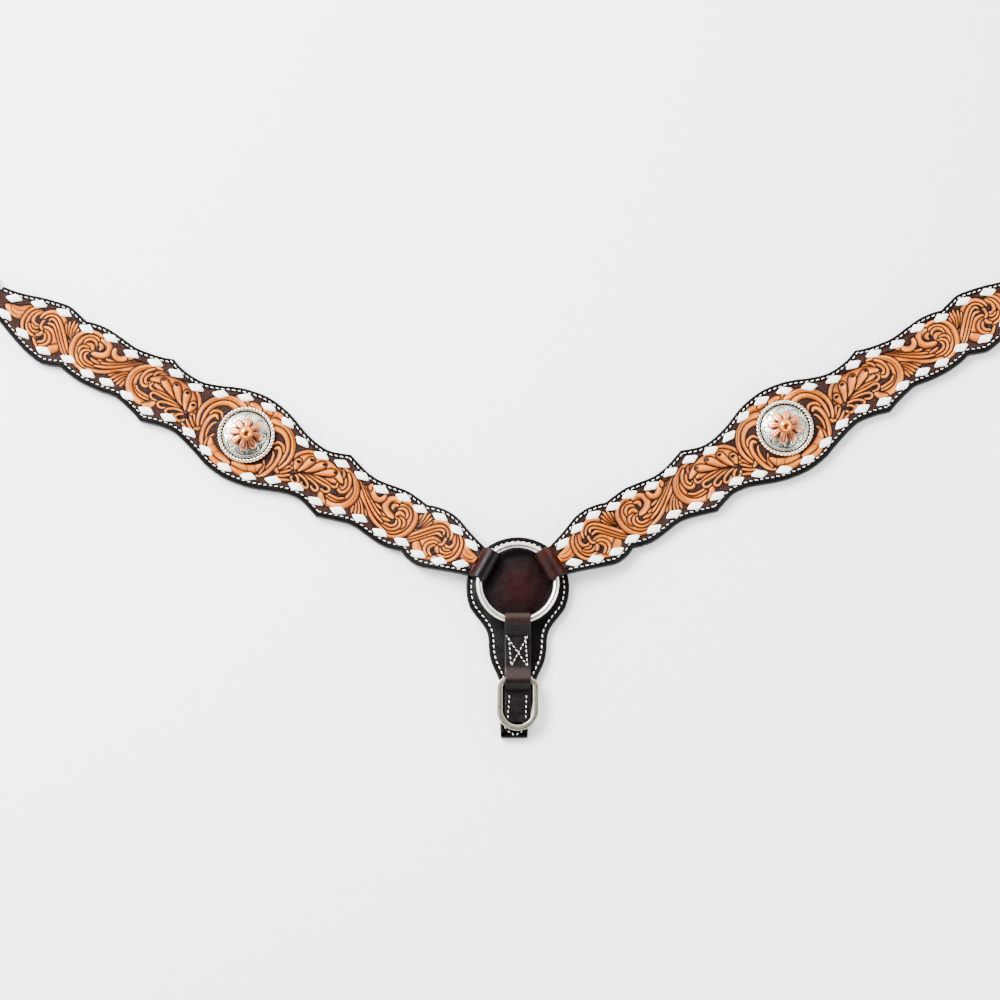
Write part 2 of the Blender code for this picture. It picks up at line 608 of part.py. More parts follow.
        faces += [(j, k, 4 + k, 4 + j), (8 + j, 8 + k, 12 + k, 12 + j),
                  (j, k, 8 + k, 8 + j), (4 + j, 4 + k, 12 + k, 12 + j)]
    body(label("tug_keeper"), verts, faces, "tug_leather", far)


for which in (1, -1):
    shoulder(which)
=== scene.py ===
"""Looks of a tooled western breast collar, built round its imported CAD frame.

Shoulder pieces are written in a shoulder's own frame, in millimetres: s runs outwards from the
middle of the centre ring, t towards the neck, z up from the resting plane.  Colours are linear
RGB, and the scales of noise and cells are per metre.
"""

import math

import bpy
import bmesh
import numpy as np
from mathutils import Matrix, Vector


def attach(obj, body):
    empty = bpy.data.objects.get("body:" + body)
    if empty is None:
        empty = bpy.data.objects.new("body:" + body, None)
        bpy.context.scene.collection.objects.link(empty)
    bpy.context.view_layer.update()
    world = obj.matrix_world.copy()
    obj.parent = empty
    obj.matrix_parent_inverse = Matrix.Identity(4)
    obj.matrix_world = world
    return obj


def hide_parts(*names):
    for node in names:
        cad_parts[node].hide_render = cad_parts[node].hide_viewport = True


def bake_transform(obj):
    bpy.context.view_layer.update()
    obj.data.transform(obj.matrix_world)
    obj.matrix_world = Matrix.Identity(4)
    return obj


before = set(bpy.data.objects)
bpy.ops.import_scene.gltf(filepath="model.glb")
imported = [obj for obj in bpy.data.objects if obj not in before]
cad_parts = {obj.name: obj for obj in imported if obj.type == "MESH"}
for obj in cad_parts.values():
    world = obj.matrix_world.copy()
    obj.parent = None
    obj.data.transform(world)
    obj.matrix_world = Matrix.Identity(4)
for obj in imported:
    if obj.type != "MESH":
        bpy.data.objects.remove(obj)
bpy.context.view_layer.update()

MM = 0.001
SIDES = {1: "right_", -1: "left_"}
RISE = {1: math.radians(30.7), -1: math.radians(29.2)}   # each shoulder's rise above X

# ---------------------------------------------------------------- sizes (mm), most as in the CAD
RING_R, RING_WIRE, RING_Z = 27.6, 2.4, 11.5
SAFE_R, SAFE_CY, SAFE_END, SAFE_TOP, SAFE_ROW = 37.1, -2.1, -111.2, 5.3, 3.6
DOME_H, PETALS, PETAL_TURN = 6.0, 8, {1: 6, -1: 28}    # concho
CAP_R, ROPE_R, ROPE_TURNS, BALL_R = 17.4, 19.35, 46, 4.75
LINING_T, PLY_BASE, PLY_SHOULDER, PLY_TOP, EDGE_ROUND = 2.6, 2.9, 4.2, 6.3, 1.3
RAISE, RAISE_FROM, RAISE_TO = 5.6, 39.0, 104.0
PANEL_FROM, PANEL_TO = 34.5, 434.0
CONCHO_S = 224.7
LOOP_T, LOOP_HALF, LOOP_EYE_S, LOOP_EYE_R = 1.8, 11.6, 26.2, 4.1
SLACK = 0.35                   # room between a wire and the leather folded round it
DROP_HALF, DROP_EYE_Y, DROP_EYE_R, DROP_REST, DROP_HUMP_R = 9.35, -26.8, 3.5, 5.6, 2.95
DROP_ROUND_Y = -92.0           # where the drop strap's end starts to round off
DEE_BAR_Y, DEE_BOW_Y, DEE_HALF, DEE_CORNER, DEE_Z = -70.5, -92.0, 12.9, 4.9, 7.85
DEE_SECTION = (2.1, 1.9, 0.75)                         # half width, half height, corner
END_BARS, END_Z, END_WIRE, END_HALF, END_CORNER = (441.8, 463.8), 4.7, 2.1, 14.2, 4.2
TUG_HALF, TUG_T, TUG_TIP, TUG_ROUND = 9.5, 2.2, 632.0, 12.0
TUG_UPPER, TUG_TUCKED = 7.7, 5.1                       # heights of the folded runs
PUNCH_R, PUNCH_PITCH, PUNCHES, PUNCH_FROM_TIP = 2.0, 16.0, 5, 28.0
TONGUE_SLOT, SLOT_R = (504.6, 518.0), 2.0
SLOT_CUT, PUNCH_CUT = (2.9, 14.0), (-1.0, 4.0)         # heights that the cutters reach
HEEL_S, HEEL_Z, BUCKLE_WIRE = 508.0, 6.9, 1.6
BUCKLE_LONG, BUCKLE_HALF, BUCKLE_CORNER = 20.0, 13.8, 3.8
TONGUE_T, TONGUE_HALF, TONGUE_LIFT, TONGUE_PAST = 1.1, 1.5, 2.5, 2.4
KEEPER_S, KEEPER_HALF, KEEPER_Z, KEEPER_T = 488.0, 4.0, (3.4, 9.15), 1.3
KEEPER_FLANK = [(0.4, 1), (0.12, 0.93), (0, 0.78), (0, 0.12), (0.1, 0)]   # gap, share of wall
STITCH_PITCH = 4.0
LACE_LONG, LACE_WIDE, LACE_RISE, LACE_SKEW = 11.7, 6.6, 1.05, -1.3

UPPER_EDGE = [
    (33, 11.4), (40, 13.4), (50, 16.8), (60, 20.8), (70, 22.3), (80, 21.0), (85.3, 19.3, 1),
    (92, 20.4), (102, 21.4), (110, 20.5), (125, 18.4), (135, 19.4), (145, 22.5), (151.7, 24.8, 1),
    (157, 22.7), (165, 20.1), (171, 19.6), (180, 20.8), (190, 23.7), (200, 27.8), (210, 30.9),
    (225, 32.7), (240, 30.6), (250, 27.4), (260, 23.1), (270, 19.9), (278, 19.2), (290, 20.7),
    (298.7, 23.9, 1), (305, 21.6), (315, 19.4), (327, 18.0), (340, 19.4), (352, 20.3), (362, 19.2),
    (368.3, 17.5, 1), (375, 19.3), (384, 21.3), (395, 19.6), (405, 17.2), (415, 14.1), (424, 11.8),
    (434, 10.4)]
LOWER_EDGE = [
    (33, 11.8), (40, 13.9), (50, 17.3), (60, 20.7), (70, 23.4), (80, 21.9), (85.3, 19.2, 1),
    (92, 21.3), (100, 22.4), (110, 21.7), (123, 20.0), (130, 20.6), (140, 23.4), (151.7, 27.0, 1),
    (157, 25.0), (165, 22.5), (170, 21.8), (180, 23.2), (190, 26.8), (200, 30.6), (210, 33.2),
    (225, 34.8), (240, 32.8), (250, 29.3), (260, 26.0), (270, 23.4), (276, 23.0), (285, 24.4),
    (297.3, 27.8, 1), (305, 25.0), (315, 22.3), (323, 21.0), (335, 22.9), (350, 23.8), (362, 22.5),
    (368.3, 20.8, 1), (375, 23.6), (382, 25.6), (395, 23.7), (405, 20.6), (415, 16.8), (424, 13.2),
    (434, 10.4)]
UPPER_LACE = [
    (42.5, 8.0), (57.5, 12.6), (72.5, 15.3), (88.5, 13.7), (103, 15.3), (120, 12.7), (137, 14.6),
    (154, 15.5), (170, 13.4), (187, 15.6), (203.5, 22.9), (221, 26.1), (239, 24.1), (256, 17.5),
    (274, 13.1), (292, 15.1), (309, 14.7), (327.5, 11.9), (346.5, 14.7), (365, 12.3),
    (385.5, 14.7), (404.5, 11.5), (422.5, 6.4)]
LOWER_LACE = [
    (42.5, 8.0), (57.5, 13.6), (73, 16.1), (88, 13.7), (105, 15.3), (123, 13.2), (139.5, 15.9),
    (157, 17.8), (174.5, 15.4), (191.5, 19.3), (208.5, 25.9), (227, 28.0), (244.5, 23.9),
    (262, 18.1), (280.5, 16.0), (297, 19.5), (314.5, 16.3), (332.5, 15.0), (348, 16.3),
    (365.5, 13.8), (384.5, 17.1), (404, 13.3), (422, 7.2)]

# Carving of the inner half, drawn back to front.  Each stroke is (shape, width, spine points):
# band keeps its width, leaf is pointed at both ends, horn narrows from a broad end, drop has a
# round head and a thin tail, and line is a plain knife cut.
CARVING = [
    # end leaf beside the ring loop
    ("leaf", 9.4, [(31.8, 0.4), (37, -0.4), (43, 0.2), (48, 5), (51.6, 10)]),
    ("line", 1.2, [(35.4, 2.4), (36.6, -0.8), (39.6, -2.2), (43.4, -1.8), (46.4, 0.6)]),
    ("line", 1.0, [(37.4, 1.2), (41, 0.8), (45, 2.6), (48, 6)]),
    # first scroll: left arcs
    ("band", 2.5, [(53.5, 10.4), (49.2, 6), (47.7, 0), (48.1, -5), (50.6, -9.4), (53.6, -11.6)]),
    ("band", 2.4, [(56, 9.8), (51.8, 4.5), (50.9, -1), (52.5, -6.3), (56.5, -9.5), (61.6, -10)]),
    ("band", 2.6, [(58, 9.4), (55.2, 6), (53.9, 2), (54.8, -1), (57.8, -1.9), (59.6, -0.4)]),
    ("line", 1.0, [(55.4, 6.4), (54.9, 3), (56, 0.6), (57.8, 0.4)]),
    ("band", 1.9, [(52.6, -3.4), (56, -6.5), (60, -6.6), (62, -4.4)]),
    ("band", 1.5, [(54.4, -3.0), (57.6, -4.3), (60.2, -2.8)]),
    # first scroll: lower lobes
    ("leaf", 3.6, [(60.0, -11.3), (64.5, -14.6), (70, -15.8), (77, -14.2)]),
    ("horn", 9.0, [(75.6, -10.6), (75.4, -6.4), (71.4, -2.4), (66.4, -1), (62.4, -2)]),
    ("leaf", 6.4, [(79.6, -7), (76.4, -12), (70, -15.4)]),
    ("band", 2.6, [(63.5, -2.6), (68.2, -3.6), (71, -7), (70.4, -11), (66.4, -14.2)]),
    ("band", 1.9, [(62.4, -4.6), (66, -5.1), (68, -7.8), (67.4, -10.6), (64.2, -12.8)]),
    ("leaf", 2.8, [(60.8, -8.8), (63.2, -6.6), (63.6, -3.6)]),
    # stems running from the first scroll to the second
    ("band", 2.0, [(61, 4.8), (60.6, 1.2), (61.2, -1.8), (63.4, -3.0)]),
    ("band", 2.3, [(64, 3.2), (68, 3.9), (72, 1.4), (77, -3.8), (82, -9), (86.4, -12.2)]),
    ("band", 2.3, [(63.8, 5), (65, 7.4), (68, 7.3), (72, 4.4), (77, -0.9), (82.5, -6.7),
                   (88, -11.6)]),
    ("band", 2.4, [(60.2, 4.6), (61.8, 8.4), (65.4, 10.5), (70, 9.2), (75.4, 4.4), (81, -1.8),
                   (86.6, -7.8), (92.4, -12.2)]),
    ("band", 2.9, [(57.6, 3.6), (58.6, 8), (62, 11.9), (66.6, 13.4), (71.8, 12), (77, 7.6),
                   (83, 1.2), (89, -5.8), (94.5, -10.8), (101, -13.4)]),
    # fan above the stems
    ("leaf", 2.2, [(75.2, 9.6), (78, 6), (82, 1)]),
    ("leaf", 2.4, [(76.8, 12.6), (79.2, 7.6), (83.8, 0.2)]),
    ("leaf", 2.5, [(79.6, 14.4), (81.2, 8), (85, -0.4)]),
    ("leaf", 2.4, [(82.4, 13.8), (83.3, 7.6), (85.8, 0.6)]),
    ("leaf", 2.0, [(85, 11), (85.3, 6), (86.4, 0)]),
    # second scroll
    ("band", 4.4, [(104, 13), (98, 13.5), (91.8, 11.2), (87.8, 6), (87, 0), (88.4, -6),
                   (92.2, -10.8), (98, -13.4), (104, -13.6), (112, -11)]),
    ("line", 1.0, [(100, 13.6), (94, 12), (89, 7), (87.6, 1), (88.6, -5)]),
    ("band", 2.8, [(104, 9.2), (99.4, 10.6), (94.2, 9.2), (91.3, 5.2), (90.7, 0), (92.2, -5.6),
                   (96, -10), (102, -11.6), (110, -10.2)]),
    ("band", 2.2, [(101.4, 4.2), (100.6, 7.4), (97.2, 8.4), (94.2, 6.2), (93.4, 2.8)]),
    ("leaf", 3.4, [(95, 3.4), (99.2, 4.2), (101.6, 1.0)]),
    ("band", 5.0, [(103, 11.4), (108.2, 11), (111, 8), (110.8, 3.4), (107.2, 0.4), (102.0, -0.9)]),
    ("line", 1.1, [(105, 12.2), (108.2, 9.6), (109, 6), (107.2, 3), (104, 2.6)]),
    ("leaf", 3.0, [(102.8, 8.4), (105.6, 7), (105.4, 4)]),
    ("band", 2.1, [(98.2, 1.6), (94.4, 1.0), (92.6, -1.8), (93.6, -5.4)]),
    ("band", 2.3, [(100.8, 0.2), (97, -0.8), (95.2, -3.8), (96.6, -7.4), (100.8, -9.6), (106.4, -9.3),
                   (112.6, -7.2), (119, -3.6), (125.4, 0.6)]),
    ("band", 2.0, [(99.4, -1.2), (98.2, -3.8), (99.8, -6.7), (104.2, -7.4), (110, -5.9),
                   (116.6, -2.8)]),
    ("leaf", 2.5, [(102.4, -4.2), (106.4, -4.8), (112.4, -3.6)]),
    # stems running from the second scroll to the big leaf
    ("leaf", 2.3, [(107.4, -2.8), (113, -2), (119.6, 0.8)]),
    ("band", 2.2, [(112.6, 0.4), (118.4, 1.8), (124.8, 5.0), (131.6, 9.8)]),
    ("band", 2.2, [(110.6, -3.8), (116.6, -1.4), (123, 2.2), (129.6, 6.4), (135, 10.8)]),
    ("band", 2.2, [(107, -8), (114, -5.4), (120.6, -1.6), (127.4, 3), (133, 7.4), (137.6, 11.4)]),
    ("band", 2.7, [(103, -12.6), (111.6, -10.4), (119, -6.4), (126, -1.2), (132.6, 4.6),
                   (140, 11.4)]),
    # small leaf and fan leaf
    ("band", 4.4, [(114.6, 10.4), (115.8, 6.6), (119.4, 5.2), (123.2, 7.2), (124.8, 11)]),
    ("line", 1.0, [(116.4, 9), (118.6, 7.4), (121.6, 8.2)]),
    ("leaf", 2.8, [(126, 8.6), (127.6, 10.6), (127, 13.4)]),
    ("leaf", 2.0, [(119.2, -9.4), (123.4, -6), (128, -2.2)]),
    ("leaf", 2.6, [(121.6, -10.8), (125.6, -6), (131, -0.2)]),
    ("leaf", 2.6, [(124.6, -11.8), (127.8, -6.8), (131.8, -1.6)]),
    ("leaf", 2.4, [(127.4, -12.4), (129.8, -7.6), (132.2, -3)]),
    ("leaf", 2.1, [(130.4, -12.8), (131.4, -9), (132.4, -5)]),
    # big leaf curling round its scroll
    ("band", 5.2, [(151, 13.4), (144.6, 11.6), (137.8, 7.2), (134.4, 1), (134.8, -6), (138, -11),
                   (143.4, -14.0), (149.4, -14.8), (154.4, -12.6)]),
    ("leaf", 4.6, [(150.4, -16), (155.4, -13.4), (157.2, -8.6)]),
    ("line", 1.0, [(141, 10.4), (136, 5), (134.2, -2), (136, -8.4), (140.6, -13)]),
    ("band", 2.4, [(150.4, 11.2), (145, 9.6), (140.8, 5.6), (138.3, 1), (138.5, -4), (141.6, -8.4),
                   (146.6, -10.7), (153, -10.4)]),
    ("band", 1.8, [(139.8, -5.6), (143.6, -8.2), (149, -8.7), (155, -8.4)]),
    ("band", 2.6, [(146, 11.6), (142.4, 7.6), (141, 2.4), (142.2, -1.8), (145, -3.2), (147.2, -1.6),
                   (147.2, 1.4)]),
    ("band", 1.9, [(148.2, 9.4), (144.9, 6), (143.6, 2.2), (144.8, -0.4), (146, 0.4)]),
    ("leaf", 2.2, [(152.6, 12.6), (148.6, 9.4), (147.4, 4.4)]),
    ("leaf", 2.2, [(155.4, 12.2), (151.6, 9.4), (149.8, 4.6)]),
    # oak leaf, upper half: one broad blade cut into lobes
    ("band", 3.4, [(166, 12.6), (175, 12.4), (181, 9.8), (185.2, 4.6), (185.8, -0.8), (183.6, -5.6)]),
    ("leaf", 11.6, [(146.6, 3.4), (156, 6.6), (166, 7.2), (176, 5), (183, -2), (184.2, -8)]),
    ("leaf", 7.0, [(150, 1.4), (160, 1.6), (170, 0.4), (181, -5)]),
    ("drop", 5.6, [(154.6, 7.6), (158.6, 5), (164.6, 1.4), (176, -4)]),
    ("drop", 5.8, [(164.2, 9), (167, 5.8), (170.8, 1.2), (177.6, -4.4)]),
    ("drop", 5.8, [(173.6, 8), (175, 4.6), (176.2, 0.6), (178.8, -4.6)]),
    ("drop", 5.6, [(181.8, 2.4), (182, -0.4), (181, -5)]),
    ("line", 1.1, [(157.8, 2.6), (162, 0.8), (168.4, -1.6)]),
    ("line", 1.1, [(164.2, 3.4), (167.4, 0.6), (171.6, -2.4)]),
    ("line", 1.1, [(171.2, 3.4), (173, 0.4), (176.4, -3.4)]),
    ("line", 1.1, [(149.6, 3.2), (155.6, 2.2), (163, -0.2)]),
    # oak leaf, lower half: hairpin lobes
    ("band", 1.9, [(149.6, 2), (149, -1.4), (152.4, -2.6), (160, -1.6), (168, -2.6), (176.6, -4.8)]),
    ("band", 1.7, [(176.8, -4.6), (168, -3.6), (160, -4), (153.8, -4.2), (152.2, -6.4), (154.4, -8.5),
                   (159, -7.9)]),
    ("band", 1.7, [(177.4, -5.4), (170, -5.4), (163.6, -6.6), (160, -8.7), (160.4, -11),
                   (163.2, -11.3), (166, -9.4)]),
    ("band", 1.7, [(178.2, -6.2), (173, -6.9), (168.6, -9.1), (167, -11.6), (168.8, -13.1),
                   (171.8, -12), (173.6, -9.8)]),
    ("band", 1.8, [(179.8, -7.2), (176.6, -9.1), (174.9, -11.6), (176.7, -13.6), (180, -12.8),
                   (181.8, -9.6)]),
    # stems from the seed to the scroll beside the concho
    ("leaf", 2.1, [(180.6, -13.4), (184.6, -15.2), (190, -16.8)]),
    ("leaf", 2.2, [(182.4, -9.6), (186.4, -12.8), (192.4, -15.8)]),
    ("leaf", 2.2, [(183.4, -6.2), (187.6, -10), (193.6, -14.2)]),
    ("leaf", 2.0, [(185.2, -3.4), (188.6, -7.6), (192, -11.2)]),
    ("leaf", 5.6, [(204, 21.6), (210, 23.6), (215.4, 22.6), (220, 17.6)]),
    ("horn", 5.4, [(215, 18.8), (207, 19.4), (199.6, 17.8), (193.2, 13), (189.4, 6.4), (188.6, 0),
                   (190.2, -6.6), (193, -11)]),
    ("horn", 4.4, [(211, 14.6), (203.4, 15.2), (197.6, 12.2), (193.8, 6.8), (192.6, 0),
                   (193.6, -6.8), (195.8, -12)]),
    ("line", 1.0, [(209, 20), (200, 18.8), (193.2, 13.8), (189.4, 7), (188.6, 1)]),
    ("leaf", 2.6, [(190.4, -13), (193.4, -11.6), (195.2, -8.6)]),
    ("band", 3.2, [(203.8, -22.4), (199.2, -18.4), (196.9, -12), (196, -5), (196.8, 0.4),
                   (199.4, 3.2), (202, 1.4)]),
    ("line", 1.0, [(200.6, -17), (198.2, -11), (197.2, -5), (198, 0)]),
    ("leaf", 2.2, [(194.6, 1.6), (197, 5.8), (201.8, 6.8), (204.6, 3)]),
    ("leaf", 1.9, [(200.6, -15), (199.4, -9), (200.2, -3.4), (202.4, -0.4)]),
    ("leaf", 2.0, [(202.6, -20.6), (202.4, -15), (204.8, -9)]),
    ("leaf", 7.0, [(203.8, -13), (207.6, -18.6), (214, -22), (224.7, -22.6)]),
    ("line", 1.0, [(206, -19.4), (208, -16.4), (210.4, -15)]),
    ("line", 1.0, [(211, -22.4), (213, -19.6), (215.4, -18.4)]),
    ("leaf", 3.8, [(206.4, -22.4), (214.4, -26.4), (224.7, -25.8)]),
    ("band", 4.0, [(216.6, 22.8), (220.6, 23.2), (224.7, 22.8)]),
]
EYES = [(154.9, 7.5, 2.2), (164.6, 8.8, 2.4), (174, 7.5, 2.6), (181.9, 1.6, 2.6), (154.9, -6.3, 1.7),
        (162.4, -9.0, 1.6), (170, -10.9, 1.6), (177.8, -11.2, 1.7), (64.9, -9.0, 1.8)]
SEED = (180.2, -5.9)


# ---------------------------------------------------------------- geometry in a shoulder's frame
UP = np.array([0, 0, 1.0])


def to_row(side, s, t, z):
    """Row-frame points in millimetres from a shoulder's own coordinates."""
    a = RISE[side]
    s, t, z = np.broadcast_arrays(*(np.asarray(v, float) for v in (s, t, z)))
    return np.stack([side * (s * math.cos(a) - t * math.sin(a)),
                     s * math.sin(a) + t * math.cos(a), z], axis=-1)


def to_world(side, s, t, z):
    """The same points in metres."""
    return to_row(side, s, t, z) * MM


def ease(f):
    """A smooth step: 0 at or below 0, 1 at or above 1."""
    f = np.clip(f, 0, 1)
    return f * f * (3 - 2 * f)


def raised(s):
    """Height of a shoulder's underside, which climbs towards the centre ring."""
    return RAISE * (1 - ease((np.asarray(s, float) - RAISE_FROM) / (RAISE_TO - RAISE_FROM)))


def distance_along(points):
    """Distance run from the first point to each point."""
    return np.concatenate([[0], np.cumsum(np.linalg.norm(np.diff(points, axis=0), axis=1))])


def circle(count):
    return 2 * np.pi * np.arange(count) / count


def smooth_curve(points, x):
    """Smooth curve through points, with a break of slope at each marked corner."""
    n = len(points)
    xs = np.array([p[0] for p in points], float)
    ys = np.array([p[1] for p in points], float)
    corner = np.array([len(p) > 2 for p in points])
    chord = np.diff(ys) / np.diff(xs)
    left, right = np.empty(n), np.empty(n)        # slopes just before and just after each point
    for k in range(n):
        before, after = chord[max(k - 1, 0)], chord[min(k, n - 2)]
        if corner[k] or k in (0, n - 1):
            left[k], right[k] = before, after
        else:
            left[k] = right[k] = (ys[k + 1] - ys[k - 1]) / (xs[k + 1] - xs[k - 1])
    x = np.asarray(x, float)
    i = np.clip(np.searchsorted(xs, x, side="right") - 1, 0, n - 2)
    h = xs[i + 1] - xs[i]
    f = (x - xs[i]) / h
    return ((1 + 2 * f) * (1 - f) ** 2 * ys[i] + f * (1 - f) ** 2 * h * right[i]
            + f * f * (3 - 2 * f) * ys[i + 1] + f * f * (f - 1) * h * left[i + 1])


def upper_edge(s):
    return smooth_curve(UPPER_EDGE, s)


def lower_edge(s):
    return -smooth_curve(LOWER_EDGE, s)


def resample(points, step):
    """Points spaced evenly along a smooth curve, and how far along each is, from 0 to 1."""
    p = np.array(points, float)
    ends = np.vstack([2 * p[0] - p[1], p, 2 * p[-1] - p[-2]])
    rows = []
    for k in range(len(p) - 1):
        a, b, c, d = ends[k:k + 4]
        f = np.linspace(0, 1, 24, endpoint=False)[:, None]
        rows.append(0.5 * (2 * b + (c - a) * f + (2 * a - 5 * b + 4 * c - d) * f ** 2
                           + (3 * b - a - 3 * c + d) * f ** 3))
    fine = np.vstack(rows + [p[-1:]])
    run = distance_along(fine)
    at = np.linspace(0, run[-1], max(int(run[-1] / step), 2) + 1)
    even = np.stack([np.interp(at, run, fine[:, k]) for k in range(p.shape[1])], axis=1)
    return even, at / run[-1]


# ---------------------------------------------------------------- mesh helpers
def make_mesh(name, verts, faces, mat, smooth=35.0):
    """A closed mesh object; edges sharper than smooth degrees stay sharp."""
    mesh = bpy.data.meshes.new(name)
    mesh.from_pydata(np.asarray(verts).reshape(-1, 3).tolist(), [], faces)
    mesh.validate()
    mesh.materials.append(mat)
    mesh.shade_smooth()
    mesh.set_sharp_from_angle(angle=math.radians(smooth))
    obj = bpy.data.objects.new(name, mesh)
    bpy.context.scene.collection.objects.link(obj)
    outward(mesh)
    return obj


def outward(mesh):
    """Turns the faces of a closed mesh outwards."""
    bm = bmesh.new()
    bm.from_mesh(mesh)
    bmesh.ops.recalc_face_normals(bm, faces=bm.faces)
    bm.to_mesh(mesh)
    bm.free()


def grid_faces(rows, cols, wrap_rows=False, start=0):
    """Quads over rows of points, each row closed into a ring."""
    r, c = np.meshgrid(np.arange(rows if wrap_rows else rows - 1), np.arange(cols), indexing="ij")
    r, c = r.ravel(), c.ravel()
    r1, c1 = (r + 1) % rows, (c + 1) % cols
    quads = np.stack([r * cols + c, r * cols + c1, r1 * cols + c1, r1 * cols + c], axis=1) + start
    return quads.tolist()


def caps(rows, cols, start=0):
    """One face over the first ring of points and one over the last."""
    return [list(range(start, start + cols)),
            list(range(start + (rows - 1) * cols, start + rows * cols))]


def tube(rows, cols, start=0):
    return grid_faces(rows, cols, start=start) + caps(rows, cols, start)


def settle(obj, slot, body, node=None):
    """Attaches a piece to the body it rides on and hides the CAD node it takes the place of; slot is
    not used.
    """
    if node is not None:
        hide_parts(node)
    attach(obj, body)


def paint(obj, name, values):
    """Stores a colour or a number for each vertex, for the material to read."""
    values = np.asarray(values, float)
    if values.ndim == 1:
        attr = obj.data.attributes.new(name, "FLOAT", "POINT")
        attr.data.foreach_set("value", values.astype(np.float32))
    else:
        attr = obj.data.color_attributes.new(name, "FLOAT_COLOR", "POINT")
        rgba = np.concatenate([values, np.ones((len(values), 1))], axis=1)
        attr.data.foreach_set("color", rgba.astype(np.float32).ravel())


# ---------------------------------------------------------------- materials
PORES = 1100         # how fine the pores of dressed leather are


class Shader:
    """A small builder for a material's node tree."""

    def __init__(self, name, base, rough=0.5, metal=0.0, spec=0.5):
        self.mat = bpy.data.materials.new(name)
        self.mat.use_nodes = True
        self.tree = self.mat.node_tree
        self.out = self.tree.nodes["Principled BSDF"]
        self.out.inputs["Base Color"].default_value = (*base, 1)
        self.out.inputs["Roughness"].default_value = rough
        self.out.inputs["Metallic"].default_value = metal
        self.out.inputs["Specular IOR Level"].default_value = spec
        self.where = self.add("ShaderNodeTexCoord").outputs["Object"]

    def add(self, kind, **props):
        node = self.tree.nodes.new(kind)
        for key, value in props.items():
            setattr(node, key, value)
        return node

    def link(self, a, b):
        self.tree.links.new(a, b)

    def feed(self, socket, value):
        """Sets a socket to a number or a colour, or links it to another node's output."""
        if isinstance(value, (int, float)):
            socket.default_value = value
        elif isinstance(value, tuple):
            socket.default_value = (*value, 1)
        else:
            self.link(value, socket)

    def noise(self, scale, detail=3.0, rough=0.55):
        n = self.add("ShaderNodeTexNoise")
        self.link(self.where, n.inputs["Vector"])
        n.inputs["Scale"].default_value = scale
        n.inputs["Detail"].default_value = detail
        n.inputs["Roughness"].default_value = rough
        return n.outputs["Fac"]

    def cells(self, scale):
        n = self.add("ShaderNodeTexVoronoi")
        self.link(self.where, n.inputs["Vector"])
        n.inputs["Scale"].default_value = scale
        return n.outputs["Distance"]

    def attribute(self, name, output="Fac"):
        return self.add("ShaderNodeAttribute", attribute_name=name).outputs[output]

    def ramp(self, source, stops):
        n = self.add("ShaderNodeValToRGB")
        self.link(source, n.inputs["Fac"])
        ramp = n.color_ramp
        while len(ramp.elements) < len(stops):
            ramp.elements.new(0.5)
        for element, (pos, colour) in zip(ramp.elements, stops):
            element.position = pos
            value = colour if isinstance(colour, tuple) else (colour,) * 3
            element.color = (*value, 1)
        return n.outputs["Color"]

    def mix(self, fac, a, b, mode="MIX"):
        n = self.add("ShaderNodeMix", data_type="RGBA", blend_type=mode)
        for value, socket in ((fac, n.inputs[0]), (a, n.inputs[6]), (b, n.inputs[7])):
            self.feed(socket, value)
        return n.outputs[2]                           # inputs 6 and 7 and output 2 are the colours

    def math(self, op, a, b):
        n = self.add("ShaderNodeMath", operation=op)
        for value, socket in ((a, n.inputs[0]), (b, n.inputs[1])):
            self.feed(socket, value)
        return n.outputs[0]

    def bump(self, height, distance, strength=1.0, under=None):
        n = self.add("ShaderNodeBump")
        n.inputs["Strength"].default_value = strength
        n.inputs["Distance"].default_value = distance
        self.link(height, n.inputs["Height"])
        if under is not None:
            self.link(under, n.inputs["Normal"])
        self.link(n.outputs["Normal"], self.out.inputs["Normal"])
        return n.outputs["Normal"]

    def set(self, socket, source):
        self.link(source, self.out.inputs[socket])


def carved_leather():
    """Carved leather in the colours that the mesh carries, painted highlights and shade included,
    beaded where it is matted.
    """
    m = Shader("carved_leather", (0.4, 0.12, 0.02), rough=0.42, spec=0.08)
    tint = m.attribute("tint", "Color")
    patch = m.ramp(m.noise(60, 4), [(0.3, (0.80, 0.74, 0.68)), (0.7, (1.08, 1.08, 1.06))])
    pores = m.ramp(m.noise(1400, 2), [(0.35, (0.82, 0.80, 0.78)), (0.62, (1.0, 1.0, 1.0))])
    m.set("Base Color", m.mix(1.0, m.mix(1.0, tint, patch, "MULTIPLY"), pores, "MULTIPLY"))
    m.set("Roughness", m.ramp(m.noise(220, 3), [(0.3, 0.26), (0.75, 0.46)]))
    first = m.bump(m.noise(900, 3), 0.00012, 0.5)
    beads = m.math("MULTIPLY", m.cells(1150), m.attribute("matting"))
    m.bump(beads, 0.0005, 0.9, first)
    return m.mat


